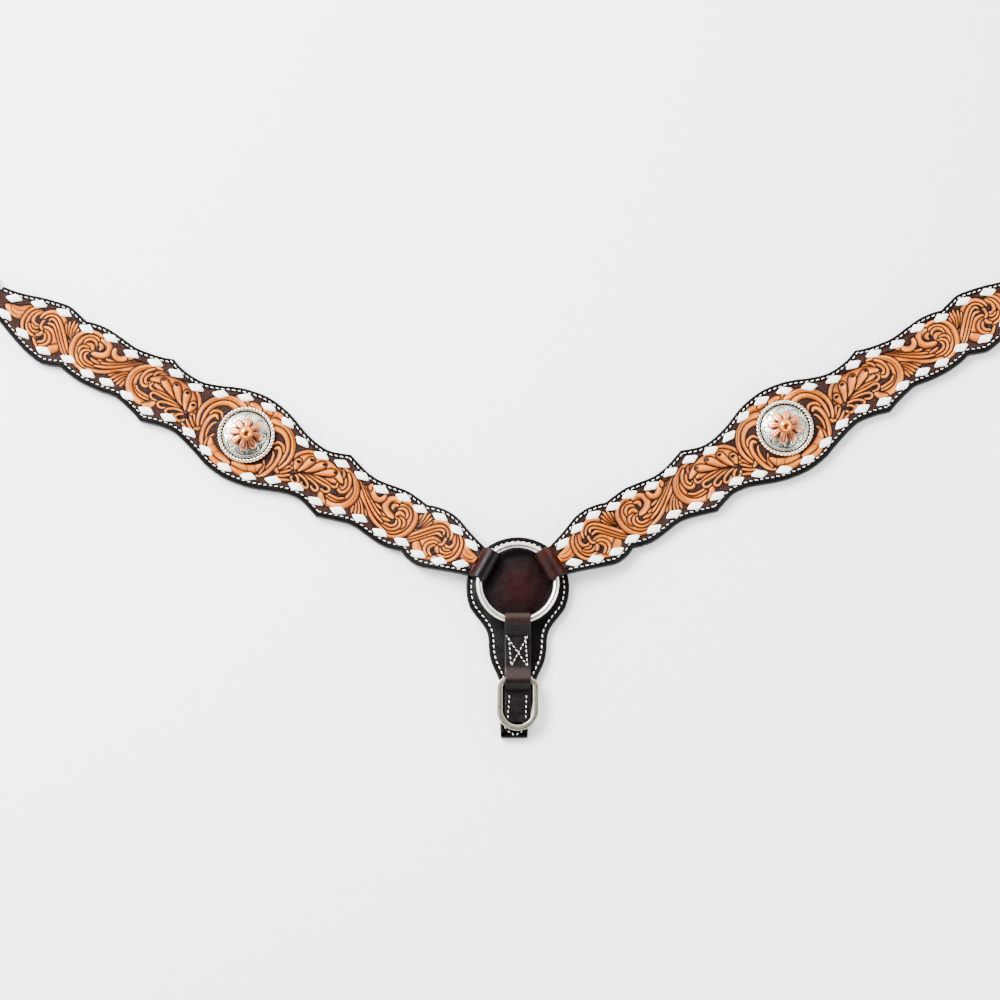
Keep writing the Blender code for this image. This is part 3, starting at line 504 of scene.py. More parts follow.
def smooth_leather(name, dark, light, rough, edge=None, middle=None, spec=0.1):
    """Dressed leather with fine pores; edge colours its painted edges and the painted shade and
    highlights marked with it, middle its centre.
    """
    m = Shader(name, light, rough=rough, spec=spec)
    colour = m.ramp(m.noise(45, 5), [(0.32, dark), (0.72, light)])
    pores = m.ramp(m.cells(PORES), [(0.0, (0.72, 0.72, 0.72)), (0.35, (1.0, 1.0, 1.0))])
    colour = m.mix(1.0, colour, pores, "MULTIPLY")
    if edge is not None:
        # the edge attribute marks painted edges, and the painted shade and highlights on folds
        colour = m.mix(m.attribute("edge"), colour, edge)
    if middle is not None:                               # burgundy near the origin, inside the centre ring
        away = m.add("ShaderNodeVectorMath", operation="LENGTH")
        m.link(m.where, away.inputs[0])
        near = m.ramp(away.outputs["Value"], [(0.006, 1.0), (0.026, 0.0)])
        colour = m.mix(near, colour, middle)
    m.set("Base Color", colour)
    m.set("Roughness", m.ramp(m.noise(160, 4), [(0.3, rough - 0.08), (0.75, rough + 0.14)]))
    first = m.bump(m.noise(120, 5), 0.0004, 0.35)
    m.bump(m.cells(PORES), 0.00018, 0.6, first)
    return m.mat


def flesh_side():
    """The napped back of the lining leather."""
    m = Shader("flesh_side", (0.010, 0.005, 0.004), rough=0.9, spec=0.1)
    m.set("Base Color", m.ramp(m.noise(240, 6, 0.7), [(0.3, (0.004, 0.002, 0.0018)),
                                                      (0.72, (0.014, 0.007, 0.006))]))
    m.out.inputs["Sheen Weight"].default_value = 0.04
    m.bump(m.noise(1500, 5, 0.7), 0.0004, 0.7)
    return m.mat


def rawhide():
    """The white lace."""
    m = Shader("white_lace", (0.90, 0.89, 0.85), rough=0.5, spec=0.4)
    m.set("Base Color", m.ramp(m.noise(330, 5), [(0.28, (0.80, 0.78, 0.71)),
                                                 (0.6, (0.93, 0.925, 0.90))]))
    m.set("Roughness", m.ramp(m.noise(500, 3), [(0.3, 0.42), (0.7, 0.6)]))
    m.bump(m.noise(1300, 4), 0.00016, 0.5)
    return m.mat


def thread():
    """Waxed white thread."""
    m = Shader("waxed_thread", (0.9, 0.88, 0.82), rough=0.55, spec=0.35)
    m.set("Base Color", m.ramp(m.noise(700, 3), [(0.3, (0.74, 0.72, 0.65)),
                                                 (0.62, (0.95, 0.94, 0.90))]))
    m.bump(m.noise(3200, 2), 0.00012, 0.7)
    return m.mat


def metal(name, dark, light, rough):
    """Plain plated metal, slightly uneven in colour and polish."""
    m = Shader(name, light, rough=rough, metal=1.0)
    m.set("Base Color", m.ramp(m.noise(260, 4), [(0.3, dark), (0.7, light)]))
    m.set("Roughness", m.ramp(m.noise(624, 4), [(0.3, rough - 0.06), (0.75, rough + 0.06)]))
    m.bump(m.noise(1300, 3), 0.00005, 0.35)
    return m.mat


def plated(name, low, high, rough):
    """Engraved metal: oxide stays in the hollows, which the mesh marks as hollow."""
    m = Shader(name, high, rough=rough, metal=1.0)
    hollow = m.attribute("hollow")
    bright = m.ramp(m.noise(500, 4), [(0.3, tuple(0.86 * c for c in high)), (0.7, high)])
    m.set("Base Color", m.mix(hollow, bright, low))
    m.set("Roughness", m.ramp(m.noise(900, 3), [(0.3, rough - 0.06), (0.75, rough + 0.1)]))
    m.bump(m.noise(1800, 3), 0.00006, 0.4)
    return m.mat


MAT = {
    "carved": carved_leather(),
    "safe": smooth_leather("black_leather", (0.0008, 0.0004, 0.0005), (0.002, 0.001, 0.001), 0.30,
                           middle=(0.011, 0.0018, 0.0016)),
    # the strap's brown edge colour is the painted highlight on the drop strap's folds
    "strap": smooth_leather("strap_leather", (0.001, 0.0005, 0.0005), (0.003, 0.0015, 0.0014), 0.30,
                            edge=(0.014, 0.0068, 0.0052), spec=0.16),
    # the loop's near-black edge colour is its real edge dye, and also the painted shade on its fold
    # round the ring
    "loop": smooth_leather("loop_leather", (0.008, 0.0012, 0.0008), (0.034, 0.0048, 0.0028), 0.34,
                           edge=(0.0012, 0.0005, 0.0005)),
    "tug": smooth_leather("tug_leather", (0.012, 0.004, 0.003), (0.034, 0.012, 0.009), 0.36,
                          edge=(0.003, 0.0015, 0.0015)),
    "lining": flesh_side(),
    "lace": rawhide(),
    "thread": thread(),
    "nickel": metal("polished_nickel", (0.50, 0.47, 0.41), (0.72, 0.69, 0.63), 0.27),
    "satin": metal("satin_nickel", (0.28, 0.26, 0.20), (0.40, 0.38, 0.31), 0.30),
    "silver": plated("engraved_silver", (0.045, 0.046, 0.030), (0.54, 0.55, 0.47), 0.19),
    "rope": plated("rope_silver", (0.11, 0.040, 0.018), (0.82, 0.72, 0.61), 0.24),
    "copper": plated("rose_copper", (0.05, 0.010, 0.004), (0.62, 0.22, 0.105), 0.26),
    "bead": plated("bead_copper", (0.05, 0.008, 0.002), (0.80, 0.24, 0.045), 0.13),
}


# ---------------------------------------------------------------- carving
def stroke_width(shape, u):
    """Width of a stroke at u along its length, from 0 to 1, as a share of its full width."""
    if shape == "leaf":
        return np.sin(np.pi * u) ** 0.62
    if shape == "line":
        return np.sin(np.pi * np.clip(u * 0.8 + 0.2, 0, 1)) ** 0.5
    if shape == "horn":
        return (1 - (1 - np.clip(u / 0.12, 0, 1)) ** 3) * (1 - 0.66 * u)
    if shape == "drop":
        head = np.sqrt(np.clip(1 - ((0.17 - u) / 0.17) ** 2, 0, 1))
        return np.where(u < 0.17, head, 0.22 + 0.78 * (1 - (u - 0.17) / 0.83) ** 0.8)
    return (1 - np.abs(2 * u - 1) ** 9) ** 0.5 * (0.80 + 0.20 * np.sin(np.pi * u))


MIRROR_STRETCH = 1.04          # outer half of the carving, stretched from the inner half
MIRROR_DROP = 0.8              # and a little lower
GROUND = -0.45                 # the matted background, below the plain face
CUT, CUT_FLOOR = 1.25, -0.75   # the cut that a stroke leaves round itself
KNIFE_DEPTH = 0.55             # of a plain knife cut
SPINE_STEP = 0.45              # between the points that stand for a stroke
EYE_DEPTH = 0.7                # small teardrop hollows between the lobes
SEED_R, SEED_WELL = 1.2, 2.1   # the round seed and the hollow it lies in
GRID_ROWS, GRID_COLS = 860, 107
PLAIN, GROOVE_AT, GROOVE_DEPTH = 4.3, 2.9, 0.30   # border: its width and its stitching groove
RUSSET = np.array([0.42, 0.104, 0.009])          # colours are linear RGB
# painted highlight on the raised strokes
RUSSET_HIGHLIGHT = np.array([0.86, 0.285, 0.050])
# painted shade on the strokes, with some real darkening from bevelling
RUSSET_BURNISH_AND_SHADE = np.array([0.085, 0.016, 0.003])
# painted shade in the knife cuts, the eyes and the seed's well
CUT_SHADE = np.array([0.002, 0.0006, 0.0004])
MATTED = np.array([0.020, 0.0052, 0.0030])
BORDER = np.array([0.0012, 0.0005, 0.0005])


def mirrored(points):
    return [(CONCHO_S + MIRROR_STRETCH * (CONCHO_S - s), t - MIRROR_DROP, *size)
            for s, t, *size in points]


def carve(S, T, border):
    """Relief height in mm, colour and matting of the carved face at each point; the colour holds
    painted highlights on the strokes and painted shade at their edges, in the cuts and in the
    hollows.
    """
    height = np.full(S.shape, GROUND)
    colour = np.broadcast_to(MATTED, S.shape + (3,)).copy()
    matting = np.ones(S.shape)
    strokes = CARVING + [(kind, w, mirrored(pts)) for kind, w, pts in CARVING]
    for kind, width, pts in strokes:
        spine, u = resample(pts, SPINE_STEP)
        half = width / 2 * stroke_width(kind, u)
        reach = width / 2 + CUT
        lo, hi = spine.min(axis=0) - reach, spine.max(axis=0) + reach
        near = (S > lo[0]) & (S < hi[0]) & (T > lo[1]) & (T < hi[1])
        s, t = S[near], T[near]
        gap = np.hypot(s[:, None] - spine[:, 0], t[:, None] - spine[:, 1]) - half
        pick = gap.argmin(axis=1)
        out = gap[np.arange(len(s)), pick]                # distance outside the stroke's edge
        course = np.gradient(spine, axis=0)[pick]
        course /= np.hypot(course[:, 0], course[:, 1])[:, None]
        aside = course[:, 0] * (t - spine[pick, 1]) - course[:, 1] * (s - spine[pick, 0])
        z, c, m = height[near], colour[near], matting[near]
        if kind == "line":                                # a plain knife cut with no body
            depth = np.clip(-out / 0.45, 0, 1)
            z -= KNIFE_DEPTH * depth
            # painted shade in the knife cut
            c += (CUT_SHADE - c) * np.clip(depth * 1.6, 0, 1)[:, None]
            height[near], colour[near] = z, c
            continue
        h = np.maximum(half[pick], 0.25)
        q = np.clip(1 + out / h, 0, 1)                    # 0 on the spine, 1 at the edge
        inside, cut = out < 0, (out >= 0) & (out < CUT)
        lean = np.clip(aside / h, -1, 1)                  # -1 on the bevelled side of the stroke
        z[inside] = (-0.42 + (0.98 + 0.22 * lean) * np.sqrt(np.clip(1 - q ** 3.6, 0, 1))
                     * min(1.0, 0.55 + width / 6))[inside]
        # painted shade: darker towards each stroke's edge and on its bevelled side, where bevelling
        # also darkens real leather
        shade = (np.clip((q - 0.6) / 0.4, 0, 1) ** 2 * 0.7
                 + np.clip(-lean - 0.15, 0, 1) ** 1.5 * 0.75)[:, None].clip(0, 0.9)
        # painted highlight: lit places it off-centre across each stroke, along makes it brighter and
        # dimmer down the stroke
        lit = np.clip(1 - np.abs(lean - 0.3) / 0.75, 0, 1)[:, None]
        along = (0.5 + 0.5 * np.cos(2.2 * np.pi * u[pick]))[:, None]
        body = RUSSET + (RUSSET_HIGHLIGHT - RUSSET) * (0.25 + 0.75 * along) * lit
        body = body + (RUSSET_BURNISH_AND_SHADE - body) * shade
        c[inside] = body[inside]
        m[inside] = 0.0
        depth = np.clip(out / CUT, 0, 1)
        z[cut] = np.minimum(z[cut], CUT_FLOOR + 0.30 * depth[cut])
        # painted shade in the cut round the stroke
        keep = (depth[cut] ** 5)[:, None]
        c[cut] = CUT_SHADE * (1 - keep) + c[cut] * keep
        m[cut] = m[cut] * depth[cut]
        height[near], colour[near], matting[near] = z, c, m
    for s0, t0, size in EYES + mirrored(EYES):
        d = np.hypot((S - s0) * 0.75 + (T - t0) * 0.35, (T - t0) * 0.95 - (S - s0) * 0.2) / size
        eye = np.clip(1.25 * (1 - d / 0.62), 0, 1) ** 0.6
        height -= EYE_DEPTH * eye
        # painted shade in the eye's hollow
        colour += (CUT_SHADE - colour) * np.clip(eye * 1.8, 0, 1)[..., None]
    for s0, t0 in [SEED] + mirrored([SEED]):
        d = np.hypot(S - s0, T - t0)
        near = d < SEED_WELL
        ball = 0.1 * np.sqrt(np.clip(1 - (d / SEED_R) ** 2, 0, 1))
        height[near] = np.where(d < SEED_R, ball, -EYE_DEPTH)[near]
        # painted shade: the seed darkened, and its well darker still
        colour[near] = np.where((d < 0.9)[..., None], RUSSET_BURNISH_AND_SHADE * 0.8, CUT_SHADE)[near]
    rim = np.clip((border - PLAIN) / 0.5, 0, 1)           # 0 on the plain border, 1 inside it
    groove = -GROOVE_DEPTH * np.exp(-((border - GROOVE_AT) / 0.9) ** 2)
    height = height * rim + groove * (1 - rim)
    colour = colour * rim[..., None] + BORDER * (1 - rim[..., None])
    return height, colour, matting * rim


def tooled_ply(side, carving):
    """The carved ply: one closed sheet whose top face holds the relief."""
    s, v, relief, tint, matting = carving
    lo, hi = lower_edge(s)[:, None], upper_edge(s)[:, None]
    t = lo + (hi - lo) * v
    h = raised(s)[:, None]
    border = np.minimum(t - lo, hi - t)
    top = h + PLY_TOP + relief - np.clip(1 - border / EDGE_ROUND, 0, 1) ** 2.2
    n, m = t.shape
    sheet = np.stack([np.broadcast_to(s[:, None], t.shape), t, top], axis=-1)

    def side_row(edge, level):
        return np.stack([s, edge[:, 0], h[:, 0] + level], axis=-1)[:, None]

    rings = np.concatenate([side_row(lo, PLY_BASE), side_row(lo, PLY_SHOULDER), sheet,
                            side_row(hi, PLY_SHOULDER), side_row(hi, PLY_BASE)], axis=1)
    verts = to_world(side, rings[..., 0], rings[..., 1], rings[..., 2])
    cols = m + 4
    obj = make_mesh(SIDES[side] + "carved_face", verts, tube(n, cols), MAT["carved"], 70)
    full = np.zeros((n, cols, 3)) + BORDER
    full[:, 2:-2] = tint
    flat = np.zeros((n, cols))
    flat[:, 2:-2] = matting
    paint(obj, "tint", full.reshape(-1, 3))
    paint(obj, "matting", flat.ravel())
    settle(obj, "tooled_leather", SIDES[side] + "shoulder", SIDES[side] + "tooled_ply")


def carving_grid():
    """The carved face on a grid that both shoulders share, with its relief softened a little."""
    s = np.linspace(PANEL_FROM, PANEL_TO, GRID_ROWS)
    v = np.linspace(0, 1, GRID_COLS)[None, :]
    lo, hi = lower_edge(s)[:, None], upper_edge(s)[:, None]
    t = lo + (hi - lo) * v
    relief, tint, matting = carve(np.broadcast_to(s[:, None], t.shape), t,
                                  np.minimum(t - lo, hi - t))
    relief[1:-1] = 0.25 * relief[:-2] + 0.5 * relief[1:-1] + 0.25 * relief[2:]
    relief[:, 1:-1] = 0.25 * relief[:, :-2] + 0.5 * relief[:, 1:-1] + 0.25 * relief[:, 2:]
    return s, v, relief, tint, matting


def lining_ply(side):
    """The lining, with its lower and upper edges eased."""
    s = np.linspace(PANEL_FROM, PANEL_TO, 260)
    lo, hi, h = lower_edge(s), upper_edge(s), raised(s)
    levels = [(0.5, 0.0), (0.0, 0.5), (0.0, LINING_T - 0.3), (0.3, LINING_T)]
    ring = [(lo + i, h + z) for i, z in levels] + [(hi - i, h + z) for i, z in reversed(levels)]
    verts = np.stack([to_world(side, s, t, z) for t, z in ring], axis=1)
    obj = make_mesh(SIDES[side] + "lining", verts, tube(len(s), len(ring)), MAT["lining"], 50)
    settle(obj, "lining_leather", SIDES[side] + "shoulder", SIDES[side] + "lining_ply")


# ---------------------------------------------------------------- lace and stitches
def pillow(centre, along, across, length, width, rise, pointed, rows, cols, skew=0.0):
    """Points of a small padded stitch, a closed lens on given axes, row by row along it.

    skew slants its sides, and a low pointed makes it a diamond where a high one leaves it square.
    """
    u = np.linspace(-1, 1, rows)
    w = (1 - np.abs(u) ** pointed) * 0.84 + 0.16          # the width never quite closes
    crown = np.sqrt(np.clip(1 - u ** 2, 0, 1))
    ring = circle(cols * 2 - 2)
    lift = np.where(np.sin(ring) > 0, np.clip(np.sin(ring), 0, 1) ** 0.6 * rise,
                    np.sin(ring) * 0.25)
    pts = []
    for k in range(rows):
        x = u[k] * length / 2 + skew * np.cos(ring) * w[k]
        y = np.cos(ring) * w[k] * width / 2
        z = lift * (0.35 + 0.65 * crown[k]) - 0.9 * (1 - crown[k]) * rise
        pts.append(centre + x[:, None] * along + y[:, None] * across + z[:, None] * UP)
    return np.array(pts)


def join_islands(name, islands, mat):
    """One object from many small closed pieces."""
    verts, faces, start = [], [], 0
    for pts in islands:
        rows, cols = pts.shape[:2]
        verts.append(pts.reshape(-1, 3))
        faces += tube(rows, cols, start)
        start += rows * cols
    return make_mesh(name, np.vstack(verts), faces, mat, 60)


def lacing(side, up):
    """White lace showing as a row of long diamonds, each diving into the leather at its tips."""
    row, sign, word = (UPPER_LACE, 1.0, "upper") if up else (LOWER_LACE, -1.0, "lower")
    islands = []
    for k, (s, d) in enumerate(row):
        a, b = row[max(k - 1, 0)], row[min(k + 1, len(row) - 1)]
        run = np.array([b[0] - a[0], (b[1] - a[1]) * sign])
        run = run / np.hypot(*run)
        slope = (raised(s + 4) - raised(s - 4)) / 8
        along = to_row(side, *run, 0.0) + UP * slope
        across = to_row(side, -run[1], run[0], 0.0)
        centre = to_row(side, s, d * sign, raised(s) + PLY_TOP + 0.35)
        islands.append(pillow(centre, along, across, LACE_LONG, LACE_WIDE, LACE_RISE,
                              skew=LACE_SKEW, pointed=1.15, rows=15, cols=9) * MM)
    obj = join_islands(SIDES[side] + word + "_lacing", islands, MAT["lace"])
    settle(obj, "lace", SIDES[side] + "shoulder", SIDES[side] + word + "_lace")


def stitch_row(path, height, pitch=STITCH_PITCH, length=2.9, width=0.68, rise=0.42, lean=0.16):
    """Points of a row of stitches along a path of (x, y, z) in mm, one island to a stitch."""
    p = np.asarray(path, float)
    run = distance_along(p)
    count = max(int(round(run[-1] / pitch)), 1)
    at = (np.arange(count) + 0.5) * run[-1] / count
    out = []
    for k, a in enumerate(at):
        behind, c, ahead = (np.array([np.interp(b, run, p[:, j]) for j in range(3)])
                            for b in (max(a - 0.8, 0), a, min(a + 0.8, run[-1])))
        d = (ahead - behind) / np.linalg.norm(ahead - behind)
        turn = lean * (1 + 0.4 * math.sin(7.3 * k))
        d2 = np.array([d[0] * math.cos(turn) - d[1] * math.sin(turn),
                       d[0] * math.sin(turn) + d[1] * math.cos(turn), d[2]])
        across = np.array([-d2[1], d2[0], 0.0])
        across = across / np.linalg.norm(across)
        size = 1 + 0.06 * math.sin(3.1 * k)               # hand sewn: no two quite alike
        out.append(pillow(c + UP * height, d2, across, length * size, width, rise,
                          pointed=4.0, rows=7, cols=5) * MM)
    return out


def stitch_inset(s, sign):
    """The stitching runs farther in from the lower edge than from the upper one."""
    return 2.6 + (0.9 if sign < 0 else 0.0) * ease((s - 45) / 25)


def edge_stitches(side):
    """The stitching round a shoulder, on its face and on its back."""
    face, back = [], []
    s = np.linspace(PANEL_FROM + 1.0, PANEL_TO - 1.0, 600)
    for edge, sign in ((upper_edge(s), 1), (lower_edge(s), -1)):
        slope, inset = np.gradient(edge, s), stitch_inset(s, sign)
        n = np.sqrt(1 + slope ** 2)
        px, py = s + sign * inset * slope / n, edge - sign * inset / n
        face += stitch_row(to_row(side, px, py, raised(px) + PLY_TOP), -0.22,
                           lean=0.14 * side * sign)
        back += stitch_row(to_row(side, s, edge - sign * inset, raised(s)), 0.12, rise=0.18)
    for word, islands in (("edge", face), ("back", back)):
        obj = join_islands(SIDES[side] + word + "_stitches", islands, MAT["thread"])
        settle(obj, "lace", SIDES[side] + "shoulder")


# ---------------------------------------------------------------- straps and wires
def arc(cx, cz, r, a0, a1, steps):
    a = np.radians(np.linspace(a0, a1, steps + 1))
    return [(cx + r * math.cos(x), cz + r * math.sin(x)) for x in a]


def tangent(point, cx, cz, r, turn):
    """Angle, in degrees, at which a line from a point touches a circle, on the side of turn."""
    dx, dz = point[0] - cx, point[1] - cz
    return math.degrees(math.atan2(dz, dx) + turn * math.acos(r / math.hypot(dx, dz)))


def fold(start, end, cx, cz, r, steps):
    """A path from start, clockwise round a wire and back to end, touching the wire's circle."""
    return ([start] + arc(cx, cz, r, tangent(start, cx, cz, r, -1),
                          tangent(end, cx, cz, r, 1) - 360, steps) + [end])


RIM = [(0.0, 0.35), (0.14, 0.72), (0.42, 0.93), (0.95, 1.0)]   # inset, share of half thickness


def strap(name, path, thick, half, place, mat, step=0.8, flare=None, shade=None, rim=1.0):
    """A folded strap with rounded edges; place turns (along, across, up) into row-frame metres.

    flare gives its half width along the path, and shade how far its face takes the edge colour,
    for painted shade and painted highlights; rim does the same for its painted edges.
    """
    pts = np.array(path, float)
    run = distance_along(pts)
    count = int(run[-1] / step) + 1
    at = np.linspace(0, run[-1], count)
    p = np.stack([np.interp(at, run, pts[:, k]) for k in range(2)], axis=1)
    for _ in range(2):                                   # soften the corners of the path
        p[1:-1] = 0.25 * p[:-2] + 0.5 * p[1:-1] + 0.25 * p[2:]
    d = np.gradient(p, axis=0)
    d /= np.linalg.norm(d, axis=1)[:, None]
    normal = np.stack([-d[:, 1], d[:, 0]], axis=1)
    th = np.interp(at, run, thick if isinstance(thick, list) else [thick] * len(pts)) / 2
    w = np.full(count, half) if flare is None else flare(p)
    face = [(1, inset, share) for inset, share in RIM]
    face += [(k / 3, 0.0, 1.0) for k in (2, 1, 0, -1, -2)]
    face += [(-1, -inset, share) for inset, share in reversed(RIM)]
    rows, marks = [], []
    for a, inset, lift in face + [(-a, -inset, -lift) for a, inset, lift in face]:
        x = p + normal * (lift * th)[:, None]
        rows.append(place(x[:, 0], a * w - inset, x[:, 1]))
        mark = np.full(count, rim if abs(a) == 1 and abs(inset) < 0.5 else 0.0)
        marks.append(mark if shade is None else np.maximum(mark, shade(p)))
    verts = np.stack(rows, axis=1)
    obj = make_mesh(name, verts, tube(*verts.shape[:2]), mat, 60)
    paint(obj, "edge", np.stack(marks, axis=1).ravel())
    return obj


def shoulder_place(side):
    return lambda a, t, z: to_world(side, a, t, z)


def drop_place(a, t, z):
    a, t, z = np.broadcast_arrays(a, t, z)
    return np.stack([t, a, z], axis=-1) * MM


def wire(name, path, section, mat, smooth=60):
    """A closed wire: section (across, up) pairs carried round points with outward directions."""
    pts = np.array([p for p, _ in path], float)
    out = np.array([d for _, d in path], float)
    sec = np.array(section, float)
    lift = np.broadcast_to(sec[None, :, 1:], (len(pts), len(sec), 1))
    verts = pts[:, None, :] + np.concatenate([out[:, None, :] * sec[None, :, :1], lift], axis=2)
    return make_mesh(name, verts * MM, grid_faces(*verts.shape[:2], wrap_rows=True), mat, smooth)


def round_section(r, n=20):
    """A round wire's section, with a flat facet uppermost."""
    a = 2 * np.pi * (np.arange(n) + 0.5) / n
    return np.stack([r * np.cos(a), r * np.sin(a)], axis=1)


def quarter(a0, steps):
    """The angles of a quarter turn from a0 degrees, in radians."""
    return [math.radians(a0 + 90 * i / (steps - 1)) for i in range(steps)]


def rounded_rect(half_x, half_z, r):
    return [(cx * (half_x - r) + r * math.cos(a), cz * (half_z - r) + r * math.sin(a))
            for cx, cz, a0 in ((1, 1, 0), (-1, 1, 90), (-1, -1, 180), (1, -1, 270))
            for a in quarter(a0, 5)]


def loop_wire(side, s0, s1, half, corner, z):
    """A rectangular wire path with round corners in a shoulder's frame."""
    out = []
    for a0, cs, ct in ((0, s1 - corner, half - corner), (90, s0 + corner, half - corner),
                       (180, s0 + corner, corner - half), (270, s1 - corner, corner - half)):
        for a in quarter(a0, 10):
            p = to_row(side, cs + corner * math.cos(a), ct + corner * math.sin(a), z)
            out.append((p, to_row(side, math.cos(a), math.sin(a), 0)[:2]))
    return out


def ring_loop(side):
    """Burgundy leather loop round the centre ring."""
    path = [(37.0, 7.9), (34.2, 7.8)]
    path += fold((32.4, 7.75), (33.0, 10.3), LOOP_EYE_S, RING_Z, LOOP_EYE_R + LOOP_T / 2, 28)
    path += [(34.2, 10.15), (37.0, 10.1)]
    # painted shade: the fold round the ring takes the near-black edge colour, more on the left
    # shoulder
    dark, full = {1: (0.5, 26.5), -1: (0.96, 33.0)}[side]   # how black the fold is, up to where
    obj = strap(SIDES[side] + "loop_strap", path, LOOP_T, LOOP_HALF, shoulder_place(side),
                MAT["loop"], shade=lambda p: dark * np.clip((full - p[:, 0]) / 4.5, 0, 1))
    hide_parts(SIDES[side] + "ring_loop")
    start, end = (tuple(to_world(side, s, 0, RING_Z)) for s in (32.2, 36.8))
    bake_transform(obj)
    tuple(start)
    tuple(end)


def outer_loop(side):
    """The loop that holds the end ring, its tail skived between the plies."""
    path = [(433.2, 4.7), (435.0, 4.7)]
    path += fold((436.2, 5.2), (434.6, 1.9), END_BARS[0], END_Z, END_WIRE + SLACK + LOOP_T / 2, 28)
    path += [(431.0, 1.85), (410.0, 1.85)]
    thick = [LOOP_T] * (len(path) - 3) + [1.3, 1.2, 1.2]
    obj = strap(SIDES[side] + "end_loop", path, thick, 8.0, shoulder_place(side), MAT["loop"])
    settle(obj, "loop_leather", SIDES[side] + "shoulder", SIDES[side] + "outer_loop")


def end_ring(side):
    path = loop_wire(side, *END_BARS, END_HALF, END_CORNER, END_Z)
    obj = wire(SIDES[side] + "end_ring_wire", path, round_section(END_WIRE), MAT["nickel"])
    settle(obj, "nickel", SIDES[side] + "end_ring", SIDES[side] + "end_ring")


# ---------------------------------------------------------------- tugs
def cutter(side, outline, low, high):
    """An upright prism in a shoulder's frame, for cutting a hole."""
    rows = [to_world(side, *np.array(outline).T, z) for z in (low, high)]
    return make_mesh("cutter", np.stack(rows), tube(2, len(outline)), MAT["tug"])


def slot_outline(s0, s1, r):
    """A round hole, or a slot with round ends when s1 is past s0."""
    half_turn = np.radians(np.linspace(-90, 90, 13))
    return ([(s1 + r * math.cos(a), r * math.sin(a)) for a in half_turn]
            + [(s0 - r * math.cos(a), -r * math.sin(a)) for a in half_turn])


def cut_holes(obj, cutters):
    """Cuts each cutter's shape out of a mesh, for good, and removes the cutters."""
    for tool in cutters:
        cut = obj.modifiers.new("hole", "BOOLEAN")
        cut.operation, cut.solver, cut.object = "DIFFERENCE", "EXACT", tool
    depsgraph = bpy.context.evaluated_depsgraph_get()
    mesh = bpy.data.meshes.new_from_object(obj.evaluated_get(depsgraph))
    mesh.set_sharp_from_angle(angle=math.radians(50))
    obj.modifiers.clear()
    obj.data = mesh
    for tool in cutters:
        bpy.data.objects.remove(tool)


def tug_strap(side):
    """The tug: folded round the end ring and back round the buckle, with a punched billet."""
    eye, heel = END_WIRE + SLACK + TUG_T / 2, BUCKLE_WIRE + SLACK + TUG_T / 2
    low, upper, tucked = TUG_T / 2, (499, TUG_UPPER), (497, TUG_TUCKED)
    path = [(TUG_TIP, low), (540, low)]
    path += fold((472, low), (474, TUG_UPPER), END_BARS[1], END_Z, eye, 30) + [upper]
    path += arc(HEEL_S, HEEL_Z, heel, tangent(upper, HEEL_S, HEEL_Z, heel, -1),
                tangent(tucked, HEEL_S, HEEL_Z, heel, 1), 30)
    path += [tucked, (478, TUG_TUCKED)]

    def flare(p):                                         # rounds off the billet's tip
        past = np.clip(p[:, 0] - (TUG_TIP - TUG_ROUND), 0, TUG_ROUND) / (TUG_ROUND + 0.8)
        return TUG_HALF * np.sqrt(np.clip(1 - past ** 2, 0, 1))

    obj = strap(SIDES[side] + "tug_leather", path, TUG_T, TUG_HALF, shoulder_place(side),
                MAT["tug"], flare=flare)
    holes = [cutter(side, slot_outline(*TONGUE_SLOT, SLOT_R), *SLOT_CUT)]
    for k in range(PUNCHES):
        s = TUG_TIP - PUNCH_FROM_TIP - PUNCH_PITCH * k
        holes.append(cutter(side, slot_outline(s, s, PUNCH_R), *PUNCH_CUT))
    cut_holes(obj, holes)
    settle(obj, "tug_leather", SIDES[side] + "tug", SIDES[side] + "tug_strap")


def tug_stitches(side):
    """A box of stitching on the folded part of the tug, broken where the keeper lies over it."""
    lines = []
    for t in (-7.4, 7.4):
        row = np.linspace((474.5, t), (499.5, t), 20)
        lines += [row[end * (row[:, 0] - KEEPER_S) > KEEPER_HALF + 0.8] for end in (-1, 1)]
    lines += [np.linspace((s, -6.2), (s, 6.2), 20) for s in (478.0, 498.2)]
    islands = []
    for line in lines:
        path = to_row(side, *line.T, TUG_UPPER + TUG_T / 2)
        islands += stitch_row(path, -0.15, pitch=3.4, length=2.5, width=0.62)
    obj = join_islands(SIDES[side] + "tug_stitches", islands, MAT["thread"])
    settle(obj, "lace", SIDES[side] + "tug")


def tug_keeper(side):
    """The leather band that holds the billet's end against the tug."""
    half, (low, high), r = TUG_HALF + 0.4, KEEPER_Z, 0.5
    loop = [(t + r * math.cos(a), z + r * math.sin(a), math.cos(a), math.sin(a))
            for a0, t, z in ((0, half - r, high - r), (90, r - half, high - r),
                             (180, r - half, low + r), (270, half - r, low + r))
            for a in quarter(a0, 7)]
    t, z, dt, dz = np.array(loop).T
    wall = np.where(dz < -0.1, KEEPER_T * 0.55, KEEPER_T)     # thinner under the tug
    flank = [(KEEPER_HALF - gap, lift) for gap, lift in KEEPER_FLANK]
    section = [(-s, lift) for s, lift in reversed(flank)] + flank
    verts = np.stack([to_world(side, KEEPER_S + s, t + dt * lift * wall, z + dz * lift * wall)
                      for s, lift in section], axis=1)
    obj = make_mesh(SIDES[side] + "keeper_band", verts,
                    grid_faces(len(t), len(section), wrap_rows=True), MAT["tug"], 50)
    paint(obj, "edge", np.tile([float(abs(s) == KEEPER_HALF) for s, _ in section], len(t)))
    settle(obj, "tug_leather", SIDES[side] + "tug", SIDES[side] + "tug_keeper")


